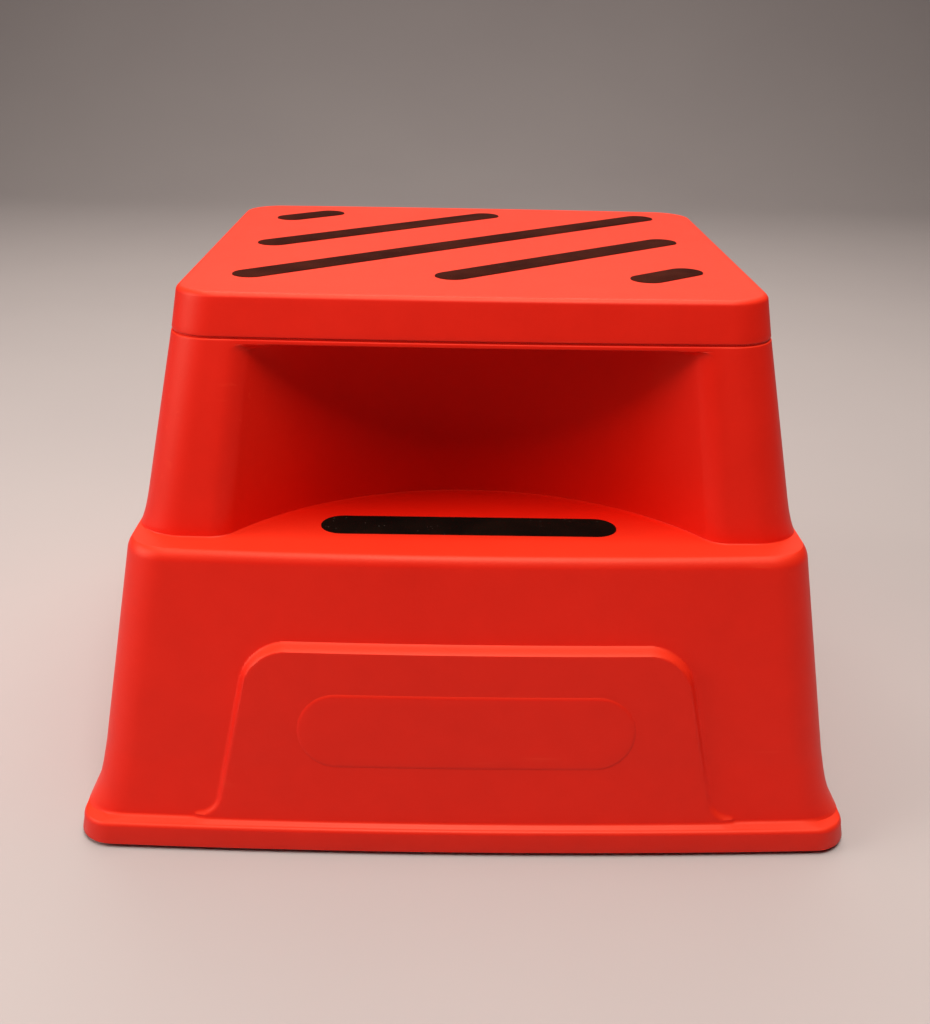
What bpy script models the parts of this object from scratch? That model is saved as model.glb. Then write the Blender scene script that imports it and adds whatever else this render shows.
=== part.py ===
"""Kick step stool: moulded two-tread step on four sprung swivel castors.

Lengths below are in millimetres and become metres in place().
X runs across the step, the user stands on the -Y side, and Z = 0 is the floor.
"""
import math

import bmesh
import bpy
from mathutils import Matrix, Vector

MM = 0.001
PART = "kick_step_stool"

# Levels
RIM_BOTTOM = 3.4
RIM_TOP = 21.5
TREAD_TOP = 231.4
LIP_TOP = 376.7
DECK_UNDER = 374.0
DECK_TOP = 378.1
CAP_UNDER = 378.5
STEP_HEIGHT = 409.7
WALL = 4.0

# Rounded-rectangle sections: level, half width, front, back, corner radius, bow
RIM = (RIM_TOP, 300.0, -291.6, 291.6, 27.0, 7.5)
LOWER = [
    (24.6, 289.3, -280.4, 280.9, 27.0, 8.0),
    (69.2, 281.3, -271.1, 272.9, 30.0, 8.0),
    (231.4, 256.6, -244.1, 248.2, 32.0, 8.0),
]
UPPER = [
    (231.4, 251.2, -215.7, 242.8, 34.0, 4.2),
    (377.6, 224.8, -188.7, 216.4, 33.0, 4.2),
]
CAP = [
    (377.6, 224.8, -188.7, 216.4, 33.0, 4.2),
    (409.7, 219.8, -183.6, 211.4, 33.0, 4.2),
]
DECK_OPENING = (DECK_TOP, 130.0, -60.0, 145.0, 20.0, 0.0)

# Toe recess: a round bay in the upper front
BAY_CENTRE_Y = -330.6
BAY_RADIUS_FOOT = 217.6
BAY_RADIUS_HEAD = 219.4
BAY_LIP = 373.0
PILLAR_ROUND = 22.0

# Raised front panel
PANEL_FOOT = 27.0
PANEL_HEAD = 163.6
PANEL_HALF_FOOT = 191.3
PANEL_HALF_HEAD = 163.5
PANEL_FLARE = 14.0
PANEL_ROUND = 28.0
PANEL_RISE_FOOT = 2.4
PANEL_RISE_HEAD = 9.0
PLATE_RISE = 0.8
PLATE_HALF = 128.0
PLATE_LOW = 69.0
PLATE_HIGH = 129.0

# Grip strips
STRIP_ANGLE = math.radians(39.6)
STRIP_PITCH = 96.5
STRIP_WIDTH = 28.0
STRIP_FIELD = (-169.5, 169.5, -112.0, 163.5)
STRIP_DEPTH = 1.2
STRIP_PROUD = 0.5
STRIP_GAP = 0.3
STRIP_LONG = 5.0
TREAD_STRIP = (0.0, -186.0, 114.0, 16.6)

# Sprung castors
CASTOR_X = 215.0
CASTOR_Y = 205.0
WHEEL_RADIUS = 19.0
WHEEL_WIDTH = 16.0
TRAIL = 14.0
SHELF_LOW = 84.0
SHELF_TOP = 88.0
SHELF_INNER_X = 176.0
SHELF_INNER_Y = 166.0
RIB_TOP = 118.0
CUP_BOTTOM = 60.0
CUP_TOP = 122.0
CUP_RADIUS = 18.0
SPRING_LOW = 70.3
SPRING_HIGH = 117.7
SPRING_TURNS = 4.0
STEM_RADIUS = 4.85
CLIP_LEVEL = 101.4
CLIP_WIRE = 0.8
CASTOR_SCREW = 22.0

# Cap screws
CAP_RIB_LOW = 393.0
CAP_SCREWS = [(-150.0, -85.0), (150.0, -85.0), (-150.0, 165.0), (150.0, 165.0)]

SEGMENTS = 16
CORNER_STEPS = 4


# ---------------------------------------------------------------- scene set-up

def new_collection(name):
    collection = bpy.data.collections.new(name)
    bpy.context.scene.collection.children.link(collection)
    return collection


def clear_scene():
    for item in list(bpy.data.objects):
        bpy.data.objects.remove(item, do_unlink=True)
    for item in list(bpy.data.collections):
        bpy.data.collections.remove(item)


clear_scene()
PARTS = new_collection(PART)
CUTTERS = new_collection("cutters")


def make_material(name, colour, roughness, metallic=0.0):
    material = bpy.data.materials.new(name)
    material.use_nodes = True
    shader = material.node_tree.nodes["Principled BSDF"]
    shader.inputs["Base Color"].default_value = (*colour, 1.0)
    shader.inputs["Roughness"].default_value = roughness
    shader.inputs["Metallic"].default_value = metallic
    material.diffuse_color = (*colour, 1.0)
    return material


RED_PLASTIC = make_material("red_plastic", (0.62, 0.02, 0.012), 0.42)
GRIP_BLACK = make_material("grip_black", (0.02, 0.015, 0.015), 0.9)
PAD_RUBBER = make_material("pad_rubber", (0.03, 0.03, 0.03), 0.8)
ZINC_STEEL = make_material("zinc_steel", (0.62, 0.63, 0.65), 0.35, 1.0)
SPRING_STEEL = make_material("spring_steel", (0.42, 0.43, 0.45), 0.3, 1.0)
NYLON = make_material("nylon", (0.75, 0.74, 0.7), 0.5)
TYRE_GREY = make_material("tyre_grey", (0.16, 0.16, 0.17), 0.7)


def place(name, mesh, material=None, origin=(0.0, 0.0, 0.0), collection=PARTS):
    """Scale a millimetre mesh to metres about origin and put it in the scene."""
    mesh.transform(Matrix.Scale(MM, 4) @ Matrix.Translation(-Vector(origin)))
    obj = bpy.data.objects.new(name, mesh)
    obj.location = Vector(origin) * MM
    collection.objects.link(obj)
    if material:
        mesh.materials.clear()
        mesh.materials.append(material)
    shade(mesh)
    return obj


def shade(mesh, angle=35.0):
    mesh.polygons.foreach_set("use_smooth", [True] * len(mesh.polygons))
    mesh.set_sharp_from_angle(angle=math.radians(angle))


def cut(target, name, mesh, operation="DIFFERENCE"):
    """Apply a live Boolean to target, keeping its tool in the cutters collection."""
    tool = place(name, mesh, collection=CUTTERS)
    tool.hide_render = True
    tool.display_type = "WIRE"
    modifier = target.modifiers.new(name, "BOOLEAN")
    modifier.operation = operation
    modifier.solver = "EXACT"
    modifier.object = tool
    return tool


# ------------------------------------------------------------ mesh generators

def to_mesh(name, data):
    """Mesh of a curve or modified object's data."""
    holder = bpy.data.objects.new(name, data)
    bpy.context.scene.collection.objects.link(holder)
    bpy.context.view_layer.update()
    graph = bpy.context.evaluated_depsgraph_get()
    mesh = bpy.data.meshes.new_from_object(holder.evaluated_get(graph))
    bpy.data.objects.remove(holder, do_unlink=True)
    mesh.name = name
    return weld(mesh)


def weld(mesh):
    work = bmesh.new()
    work.from_mesh(mesh)
    bmesh.ops.remove_doubles(work, verts=work.verts, dist=0.001)
    bmesh.ops.recalc_face_normals(work, faces=work.faces)
    work.to_mesh(mesh)
    work.free()
    return mesh


def outline(name, loops, low, high):
    """Flat curve filled on both sides and extruded from low to high along Z."""
    curve = bpy.data.curves.new(name, "CURVE")
    curve.dimensions = "2D"
    curve.fill_mode = "BOTH"
    curve.extrude = (high - low) / 2.0
    for loop in loops:
        spline = curve.splines.new("POLY")
        spline.points.add(len(loop) - 1)
        for point, (x, y) in zip(spline.points, loop):
            point.co = (x, y, 0.0, 1.0)
        spline.use_cyclic_u = True
    mesh = to_mesh(name, curve)
    mesh.transform(Matrix.Translation((0.0, 0.0, (low + high) / 2.0)))
    return mesh


def lathe(name, profile, centre=(0.0, 0.0), segments=SEGMENTS):
    """Turn a closed (radius, height) profile about a vertical axis."""
    mesh = bpy.data.meshes.new(name)
    count = len(profile)
    edges = [(i, (i + 1) % count) for i in range(count)]
    if profile[0][0] == 0.0 and profile[-1][0] == 0.0:
        edges.pop()
    mesh.from_pydata([(r, 0.0, z) for r, z in profile], edges, [])
    holder = bpy.data.objects.new(name, mesh)
    bpy.context.scene.collection.objects.link(holder)
    screw = holder.modifiers.new("turn", "SCREW")
    screw.steps = segments
    screw.render_steps = segments
    screw.use_merge_vertices = True
    screw.merge_threshold = 0.0001
    bpy.context.view_layer.update()
    graph = bpy.context.evaluated_depsgraph_get()
    turned = bpy.data.meshes.new_from_object(holder.evaluated_get(graph))
    bpy.data.objects.remove(holder, do_unlink=True)
    turned.name = name
    turned.transform(Matrix.Translation((centre[0], centre[1], 0.0)))
    return weld(turned)


def wire(name, points, radius, sides):
    """Round wire through points, closed at both ends."""
    curve = bpy.data.curves.new(name, "CURVE")
    curve.dimensions = "3D"
    curve.bevel_depth = radius
    curve.bevel_resolution = sides
    curve.use_fill_caps = True
    spline = curve.splines.new("POLY")
    spline.points.add(len(points) - 1)
    for point, place_at in zip(spline.points, points):
        point.co = (*place_at, 1.0)
    return to_mesh(name, curve)


def box(name, low, high):
    loop = [(low[0], low[1]), (high[0], low[1]), (high[0], high[1]), (low[0], high[1])]
    return outline(name, [loop], low[2], high[2])


def rod(name, centre, radius, low, high, segments=SEGMENTS):
    return lathe(name, [(0.0, low), (radius, low), (radius, high), (0.0, high)], centre, segments)


def merged(name, meshes):
    """One mesh holding several separate solids."""
    work = bmesh.new()
    for mesh in meshes:
        work.from_mesh(mesh)
    joined = bpy.data.meshes.new(name)
    work.to_mesh(joined)
    work.free()
    return joined


def circle(cx, cy, radius, count=12):
    steps = [2.0 * math.pi * i / count for i in range(count)]
    return [(cx + radius * math.cos(a), cy + radius * math.sin(a)) for a in steps]


def rounded(points, radii, steps=4):
    """Round each corner of a polygon with its own radius."""
    result = []
    count = len(points)
    for i, corner in enumerate(points):
        here = Vector(corner)
        to_last = Vector(points[i - 1]) - here
        to_next = Vector(points[(i + 1) % count]) - here
        half = to_last.angle(to_next) / 2.0
        reach = 0.48 * min(to_last.length, to_next.length)
        run = min(radii[i] / math.tan(half), reach)
        if run < 0.05:
            result.append(tuple(here))
            continue
        radius = run * math.tan(half)
        bisector = (to_last.normalized() + to_next.normalized()).normalized()
        centre = here + bisector * (radius / math.sin(half))
        start = here + to_last.normalized() * run - centre
        end = here + to_next.normalized() * run - centre
        sweep = start.angle_signed(end)
        for k in range(steps + 1):
            turn = Matrix.Rotation(-sweep * k / steps, 2)
            result.append(tuple(centre + turn @ start))
    return result


# ---------------------------------------------------------- body of the step

def between(table, level):
    """Section of a tapering wall at a level."""
    for low, high in zip(table, table[1:]):
        if level <= high[0] or high is table[-1]:
            share = (level - low[0]) / (high[0] - low[0])
            return tuple(a + (b - a) * share for a, b in zip(low, high))
    return table[0]


def inset(section, distance):
    level, half, front, back, corner, bow = section
    return (level, half - distance, front + distance, back - distance,
            max(corner - distance, 1.5), bow)


def bay_points(section, radius, edge):
    """Front line of a section with the toe recess let into it."""
    front = section[2]
    edge_y = front + edge
    edge_x = math.sqrt((radius + edge) ** 2 - (edge_y - BAY_CENTRE_Y) ** 2)
    touch = math.atan2(edge_y - BAY_CENTRE_Y, edge_x)
    pillar = []
    for k in range(4):
        angle = -math.pi / 2.0 - (math.pi / 2.0 - touch) * k / 3.0
        pillar.append((edge_x + edge * math.cos(angle), edge_y + edge * math.sin(angle)))
    wall = []
    for k in range(1, 6):
        angle = touch + (math.pi / 2.0 - touch) * k / 6.0
        wall.append((radius * math.cos(angle), BAY_CENTRE_Y + radius * math.sin(angle)))
    right = pillar + wall
    left = [(-x, y) for x, y in right]
    return left + [(0.0, BAY_CENTRE_Y + radius)] + right[::-1]


FRONT_SHARES = [x / (UPPER[0][1] - UPPER[0][4])
                for x, y in bay_points(UPPER[0], BAY_RADIUS_FOOT, PILLAR_ROUND)]


def ring(section, level=None, bay=None):
    """Closed loop of points round a section, counter-clockwise from above."""
    own_level, half, front, back, corner, bow = section
    level = own_level if level is None else level
    reach = half - corner
    if bay:
        points = bay_points(section, *bay)
    else:
        points = [(share * reach, front) for share in FRONT_SHARES]
    corners = [
        (reach, front + corner, -0.5),
        (reach, back - corner, 0.0),
        (-reach, back - corner, 0.5),
        (-reach, front + corner, 1.0),
    ]
    for index, (cx, cy, start) in enumerate(corners):
        for k in range(CORNER_STEPS + 1):
            angle = math.pi * (start + 0.5 * k / CORNER_STEPS)
            points.append((cx + corner * math.cos(angle), cy + corner * math.sin(angle)))
        if index == 1:
            points.extend((reach * (1.0 - k / 3.0), back) for k in range(1, 6))
        elif index in (0, 2):
            ends = (front + corner, back - corner)
            run = ends if index == 0 else ends[::-1]
            points.extend(((half, -half)[index // 2], run[0] + (run[1] - run[0]) * k / 3.0)
                          for k in (1, 2))
    middle = (front + back) / 2.0
    depth = (back - front) / 2.0
    return [(x, y + bow * (x / half) ** 2 * (middle - y) / depth, level) for x, y in points]


def loft(name, rings, closed):
    """Skin over successive rings; closed joins the last ring to the first."""
    mesh = bpy.data.meshes.new(name)
    count = len(rings[0])
    verts = [point for loop in rings for point in loop]
    faces = []
    spans = len(rings) if closed else len(rings) - 1
    for i in range(spans):
        a = i * count
        b = ((i + 1) % len(rings)) * count
        for j in range(count):
            k = (j + 1) % count
            faces.append((a + j, a + k, b + k, b + j))
    if not closed:
        faces.append(tuple(range(count))[::-1])
        faces.append(tuple(range(len(verts) - count, len(verts))))
    mesh.from_pydata(verts, [], faces)
    mesh.validate()
    return mesh


def bay_radius(level):
    share = (level - TREAD_TOP) / (BAY_LIP - TREAD_TOP)
    return BAY_RADIUS_FOOT + (BAY_RADIUS_HEAD - BAY_RADIUS_FOOT) * share


def outer_rings():
    rings = [
        ring(inset(RIM, 0.6), RIM_BOTTOM),
        ring(RIM, RIM_BOTTOM + 1.0),
        ring(RIM, RIM_TOP - 1.6),
        ring(inset(RIM, 0.5), RIM_TOP - 0.4),
        ring(inset(RIM, 1.8), RIM_TOP),
        ring(inset(LOWER[0], -2.2), 22.8),
        ring(inset(LOWER[0], -0.5), 23.6),
        ring(LOWER[0], 26.0),
        ring(LOWER[1]),
    ]
    rings.append(ring(between(LOWER, 150.0)))
    shoulder = 9.0
    for angle in (0.0, 22.5, 45.0, 67.5, 90.0):
        turn = math.radians(angle)
        level = TREAD_TOP - shoulder * (1.0 - math.sin(turn))
        section = inset(between(LOWER, level), shoulder * (1.0 - math.cos(turn)) * 0.62)
        rings.append(ring(section, level))
    foot = 4.0
    for angle in (90.0, 60.0, 30.0, 0.0):
        turn = math.radians(angle)
        level = TREAD_TOP + foot * (1.0 - math.sin(turn))
        spread = foot * (1.0 - math.cos(turn)) * 0.5
        section = inset(between(UPPER, level), -spread)
        bay = (bay_radius(level) - 2.0 * spread, PILLAR_ROUND)
        rings.append(ring(section, level, bay))
    for level in (305.0, BAY_LIP - 3.0):
        rings.append(ring(between(UPPER, level), level, (bay_radius(level), PILLAR_ROUND)))
    rings.append(ring(between(UPPER, BAY_LIP), BAY_LIP, (bay_radius(BAY_LIP) - 2.5, PILLAR_ROUND)))
    lip = between(UPPER, BAY_LIP + 0.5)
    rings.append(ring(inset(lip, 0.0), BAY_LIP + 0.5))
    rings.append(ring(between(UPPER, LIP_TOP - 0.8)))
    rings.append(ring(inset(between(UPPER, LIP_TOP), 0.8), LIP_TOP))
    rings.append(ring(inset(between(UPPER, LIP_TOP), 5.0), LIP_TOP))
    rings.append(ring(inset(between(UPPER, LIP_TOP), 5.0), DECK_TOP))
    return rings


def inner_rings():
    under = inset(between(UPPER, DECK_UNDER), WALL)
    foot_level = TREAD_TOP - WALL
    foot = inset(between(UPPER, foot_level), WALL)
    edge = PILLAR_ROUND - WALL
    shoulder = inset(between(LOWER, foot_level), WALL + 3.0)
    return [
        ring(DECK_OPENING, DECK_TOP),
        ring(DECK_OPENING, DECK_UNDER),
        ring(under, DECK_UNDER, (bay_radius(BAY_LIP) + WALL, edge)),
        ring(foot, foot_level, (BAY_RADIUS_FOOT + WALL, edge)),
        ring(shoulder, foot_level),
        ring(inset(between(LOWER, foot_level - 4.0), WALL), foot_level - 4.0),
        ring(inset(LOWER[1], WALL)),
        ring(inset(LOWER[0], WALL), 21.0),
        ring(inset(LOWER[0], 2.5), 19.0),
        ring(inset(RIM, WALL + 1.0), RIM_TOP - WALL),
        ring(inset(RIM, WALL), RIM_TOP - WALL - 1.0),
        ring(inset(RIM, WALL), RIM_BOTTOM),
    ]


def panel_rise(level):
    """How far the raised panel stands out of the front wall."""
    share = (level - PANEL_FOOT) / (PANEL_HEAD - PANEL_FOOT)
    return PANEL_RISE_FOOT + (PANEL_RISE_HEAD - PANEL_RISE_FOOT) * share


def on_front(mesh, deep, proud):
    """Stand a flat outline on the sloping front, its outer side off the panel's face."""
    foot = between(LOWER, PANEL_FOOT)
    head = between(LOWER, PANEL_HEAD)
    for vertex in mesh.vertices:
        x, up, side = vertex.co
        share = (up - PANEL_FOOT) / (PANEL_HEAD - PANEL_FOOT)
        front = foot[2] + (head[2] - foot[2]) * share
        rise = deep if side < 0.5 else panel_rise(up) + proud
        half = foot[1] + (head[1] - foot[1]) * share
        vertex.co = (x, front - rise + foot[5] * (x / half) ** 2, up)
    return mesh


def sliced(mesh, cuts):
    """Divide a mesh at each X so that it can follow the bowed front."""
    work = bmesh.new()
    work.from_mesh(mesh)
    for x in cuts:
        everything = work.verts[:] + work.edges[:] + work.faces[:]
        bmesh.ops.bisect_plane(work, geom=everything, dist=0.001,
                               plane_co=(x, 0.0, 0.0), plane_no=(1.0, 0.0, 0.0))
    work.to_mesh(mesh)
    work.free()
    return mesh


def panel_loop(margin):
    foot = PANEL_HALF_FOOT - margin
    head = PANEL_HALF_HEAD - margin
    low = PANEL_FOOT + margin * 1.5
    high = PANEL_HEAD - margin
    flare = PANEL_FLARE if margin == 0.0 else 0.0
    corners = [(-foot - flare, low), (foot + flare, low)]
    radii = [0.0, 0.0]
    if flare:
        corners.append((foot, low + flare))
        radii.append(14.0)
    corners += [(head, high), (-head, high)]
    radii += [PANEL_ROUND - margin] * 2
    if flare:
        corners.append((-foot, low + flare))
        radii.append(14.0)
    return rounded(corners, radii)


def stadium(cx, cy, half, radius, steps=6):
    points = []
    for side, start in ((1.0, -0.5), (-1.0, 0.5)):
        for k in range(steps + 1):
            angle = math.pi * (start + k / steps)
            points.append((cx + side * (half - radius) + radius * math.cos(angle),
                           cy + radius * math.sin(angle)))
    return points


def shelf_sectors():
    """Four corner shelves with upstand ribs, reaching half way into the walls."""
    levels = (SHELF_LOW, RIB_TOP)
    rings = [ring(inset(between(LOWER, level), WALL / 2.0), level) for level in levels]
    return loft("shelves", rings, False)


def shelf_hollows():
    """What the shelves' block loses: the middle of the step and the space above each."""
    solids = []
    big = 320.0
    low = SHELF_LOW - 2.0
    high = RIB_TOP + 2.0
    cross = [
        (-SHELF_INNER_X, -big), (SHELF_INNER_X, -big), (SHELF_INNER_X, -SHELF_INNER_Y),
        (big, -SHELF_INNER_Y), (big, SHELF_INNER_Y), (SHELF_INNER_X, SHELF_INNER_Y),
        (SHELF_INNER_X, big), (-SHELF_INNER_X, big), (-SHELF_INNER_X, SHELF_INNER_Y),
        (-big, SHELF_INNER_Y), (-big, -SHELF_INNER_Y), (-SHELF_INNER_X, -SHELF_INNER_Y),
    ]
    solids.append(outline("cross", [cross], low, high))
    for sx, sy in CORNERS:
        near_x = sx * (SHELF_INNER_X + 3.0)
        near_y = sy * (SHELF_INNER_Y + 3.0)
        xs = sorted((near_x, sx * big))
        ys = sorted((near_y, sy * big))
        solids.append(box("hollow", (xs[0], ys[0], SHELF_TOP), (xs[1], ys[1], high)))
    return solids


CORNERS = [(-1.0, -1.0), (1.0, -1.0), (1.0, 1.0), (-1.0, 1.0)]
CORNER_NAMES = ["front_left", "front_right", "back_right", "back_left"]


def build_body():
    body = place("body_shell", loft("body_shell", outer_rings() + inner_rings(), True), RED_PLASTIC)
    cuts = (-150.0, -100.0, -50.0, 0.0, 50.0, 100.0, 150.0)
    block = sliced(outline("front_panel", [panel_loop(0.0)], 0.0, 1.0), cuts)
    cut(body, "front_panel", on_front(block, -WALL / 2.0, 0.0), "UNION")
    hollow = sliced(outline("panel_hollow", [panel_loop(5.0)], 0.0, 1.0), cuts)
    cut(body, "panel_hollow", on_front(hollow, -WALL - 4.0, -WALL))
    middle = (PLATE_LOW + PLATE_HIGH) / 2.0
    plate = stadium(0.0, middle, PLATE_HALF, (PLATE_HIGH - PLATE_LOW) / 2.0)
    plate = sliced(outline("label_plate", [plate], 0.0, 1.0), cuts)
    cut(body, "label_plate", on_front(plate, PANEL_RISE_FOOT, PLATE_RISE), "UNION")

    shelves = place("shelves", shelf_sectors(), collection=CUTTERS)
    shelves.hide_render = True
    shelves.display_type = "WIRE"
    for index, solid in enumerate(shelf_hollows()):
        cut(shelves, f"shelf_hollow_{index}", solid)
    join = body.modifiers.new("shelves", "BOOLEAN")
    join.operation = "UNION"
    join.solver = "EXACT"
    join.object = shelves

    ribs = []
    for x in (-120.0, -60.0, 0.0, 60.0, 120.0):
        bay = BAY_RADIUS_FOOT + WALL
        end = BAY_CENTRE_Y + math.sqrt(bay ** 2 - x ** 2) - 7.0
        bow = LOWER[2][5] * (x / LOWER[2][1]) ** 2
        profile = [(-246.7 + bow, 204.0), (end, 214.0), (end, TREAD_TOP - 2.0),
                   (-241.9 + bow, TREAD_TOP - 2.0)]
        rib = outline("tread_rib", [profile], x - 1.5, x + 1.5)
        rib.transform(Matrix(((0, 0, 1, 0), (1, 0, 0, 0), (0, 1, 0, 0), (0, 0, 0, 1))))
        ribs.append(rib)
    cut(body, "tread_ribs", merged("tread_ribs", ribs), "UNION")

    holes = []
    for sx, sy in CORNERS:
        centre = (sx * CASTOR_X, sy * CASTOR_Y)
        holes.append(rod("cup_hole", centre, CUP_RADIUS + 0.6, SHELF_LOW - 2.0, SHELF_TOP + 2.0))
        for turn in (-1.0, 1.0):
            at = (centre[0] + turn * CASTOR_SCREW, centre[1] - turn * sx * sy * CASTOR_SCREW)
            holes.append(rod("screw_hole", at, 2.3, SHELF_LOW - 2.0, SHELF_TOP + 2.0, 10))
    for at in CAP_SCREWS:
        holes.append(rod("deck_hole", at, 2.8, DECK_UNDER - 2.0, DECK_TOP + 2.0, 10))
    cut(body, "shelf_and_deck_holes", merged("shelf_and_deck_holes", holes))

    x, y, half, radius = TREAD_STRIP
    seat = outline("tread_strip_seat", [stadium(x, y, half + STRIP_GAP, radius + STRIP_GAP)],
                   TREAD_TOP - STRIP_DEPTH, TREAD_TOP + 3.0)
    cut(body, "tread_strip_seat", seat)
    return body


# ----------------------------------------------------------- top and grip strips

def strip_outline(offset, margin):
    """Round-ended strip whose centre line crosses the field diagonally.

    The middle one runs on a little past the field at its left end.
    """
    along = Vector((math.cos(STRIP_ANGLE), math.sin(STRIP_ANGLE)))
    left, right, front, back = STRIP_FIELD
    middle = Vector(((left + right) / 2.0, (front + back) / 2.0))
    middle += Vector((-along.y, along.x)) * offset
    ahead = min((right - middle.x) / along.x, (back - middle.y) / along.y)
    behind = max((left - middle.x) / along.x, (front - middle.y) / along.y)
    if offset == 0.0:
        behind -= STRIP_LONG
    centre = middle + along * (ahead + behind) / 2.0
    radius = STRIP_WIDTH / 2.0 + margin
    turn = Matrix.Rotation(STRIP_ANGLE, 2)
    loop = stadium(0.0, 0.0, (ahead - behind) / 2.0 + radius, radius)
    return [tuple(centre + turn @ Vector(point)) for point in loop]


STRIP_OFFSETS = [STRIP_PITCH * k for k in (2, 1, 0, -1, -2)]


def build_top():
    edge = 4.0
    rings = [
        ring(inset(between(CAP, STEP_HEIGHT - WALL), WALL), STEP_HEIGHT - WALL),
        ring(inset(between(CAP, CAP_UNDER), WALL), CAP_UNDER),
        ring(inset(between(CAP, CAP_UNDER), 0.6), CAP_UNDER),
        ring(between(CAP, CAP_UNDER + 0.8)),
    ]
    for angle in (0.0, 22.5, 45.0, 67.5, 90.0):
        turn = math.radians(angle)
        level = STEP_HEIGHT - edge * (1.0 - math.sin(turn))
        rings.append(ring(inset(between(CAP, level), edge * (1.0 - math.cos(turn))), level))
    top = place("top_platform", loft("top_platform", rings, False), RED_PLASTIC)
    ribs = []
    for x in (-75.0, 0.0, 75.0):
        ribs.append(box("rib", (x - 1.5, -183.0, CAP_RIB_LOW), (x + 1.5, 211.0, STEP_HEIGHT - 3.0)))
    cut(top, "long_ribs", merged("long_ribs", ribs), "UNION")
    posts = [rod("post", at, 6.5, CAP_UNDER, STEP_HEIGHT - 3.0, 12) for at in CAP_SCREWS]
    cut(top, "screw_posts", merged("screw_posts", posts), "UNION")
    bores = [rod("bore", at, 2.9, CAP_UNDER - 2.0, 397.0, 10) for at in CAP_SCREWS]
    seats = []
    for offset in STRIP_OFFSETS:
        seats.append(outline("seat", [strip_outline(offset, STRIP_GAP)],
                             STEP_HEIGHT - STRIP_DEPTH, STEP_HEIGHT + 3.0))
    cut(top, "bores_and_seats", merged("bores_and_seats", bores + seats))
    return top


def build_strips():
    for index, offset in enumerate(STRIP_OFFSETS):
        mesh = outline("strip", [strip_outline(offset, 0.0)],
                       STEP_HEIGHT - STRIP_DEPTH + STRIP_GAP, STEP_HEIGHT + STRIP_PROUD)
        place(f"top_grip_strip_{index + 1}", mesh, GRIP_BLACK)
    x, y, half, radius = TREAD_STRIP
    mesh = outline("strip", [stadium(x, y, half, radius)],
                   TREAD_TOP - STRIP_DEPTH + STRIP_GAP, TREAD_TOP + STRIP_PROUD)
    place("tread_grip_strip", mesh, GRIP_BLACK)


def build_pads():
    for (sx, sy), corner in zip(CORNERS, CORNER_NAMES):
        x = sx * 205.0
        bow = RIM[5] * ((abs(x) + 40.0) / RIM[1]) ** 2
        outer = sy * (RIM[3] - WALL - bow - 1.4)
        ys = sorted((outer, outer - sy * 9.0))
        mesh = outline("pad", [rounded([(x - 40.0, ys[0]), (x + 40.0, ys[0]),
                                        (x + 40.0, ys[1]), (x - 40.0, ys[1])], [2.0] * 4, 2)],
                       2.5, RIM_TOP - WALL - 0.4)
        place(f"foot_pad_{corner}", mesh, PAD_RUBBER)


def screw_mesh(centre, head_top, head_radius, head_height, shank_radius, shank_top):
    low = head_top - head_height
    profile = [(0.0, low), (head_radius * 0.6, low), (head_radius, low + head_height * 0.55),
               (head_radius, head_top), (shank_radius, head_top), (shank_radius, shank_top),
               (0.0, shank_top)]
    return lathe("screw", profile, centre, 10)


def build_cap_screws():
    for index, at in enumerate(CAP_SCREWS):
        mesh = screw_mesh(at, DECK_UNDER - 0.3, 4.6, 3.0, 2.4, 394.0)
        place(f"cap_screw_{index + 1}", mesh, ZINC_STEEL)


# ------------------------------------------------------------------- castors

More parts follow.
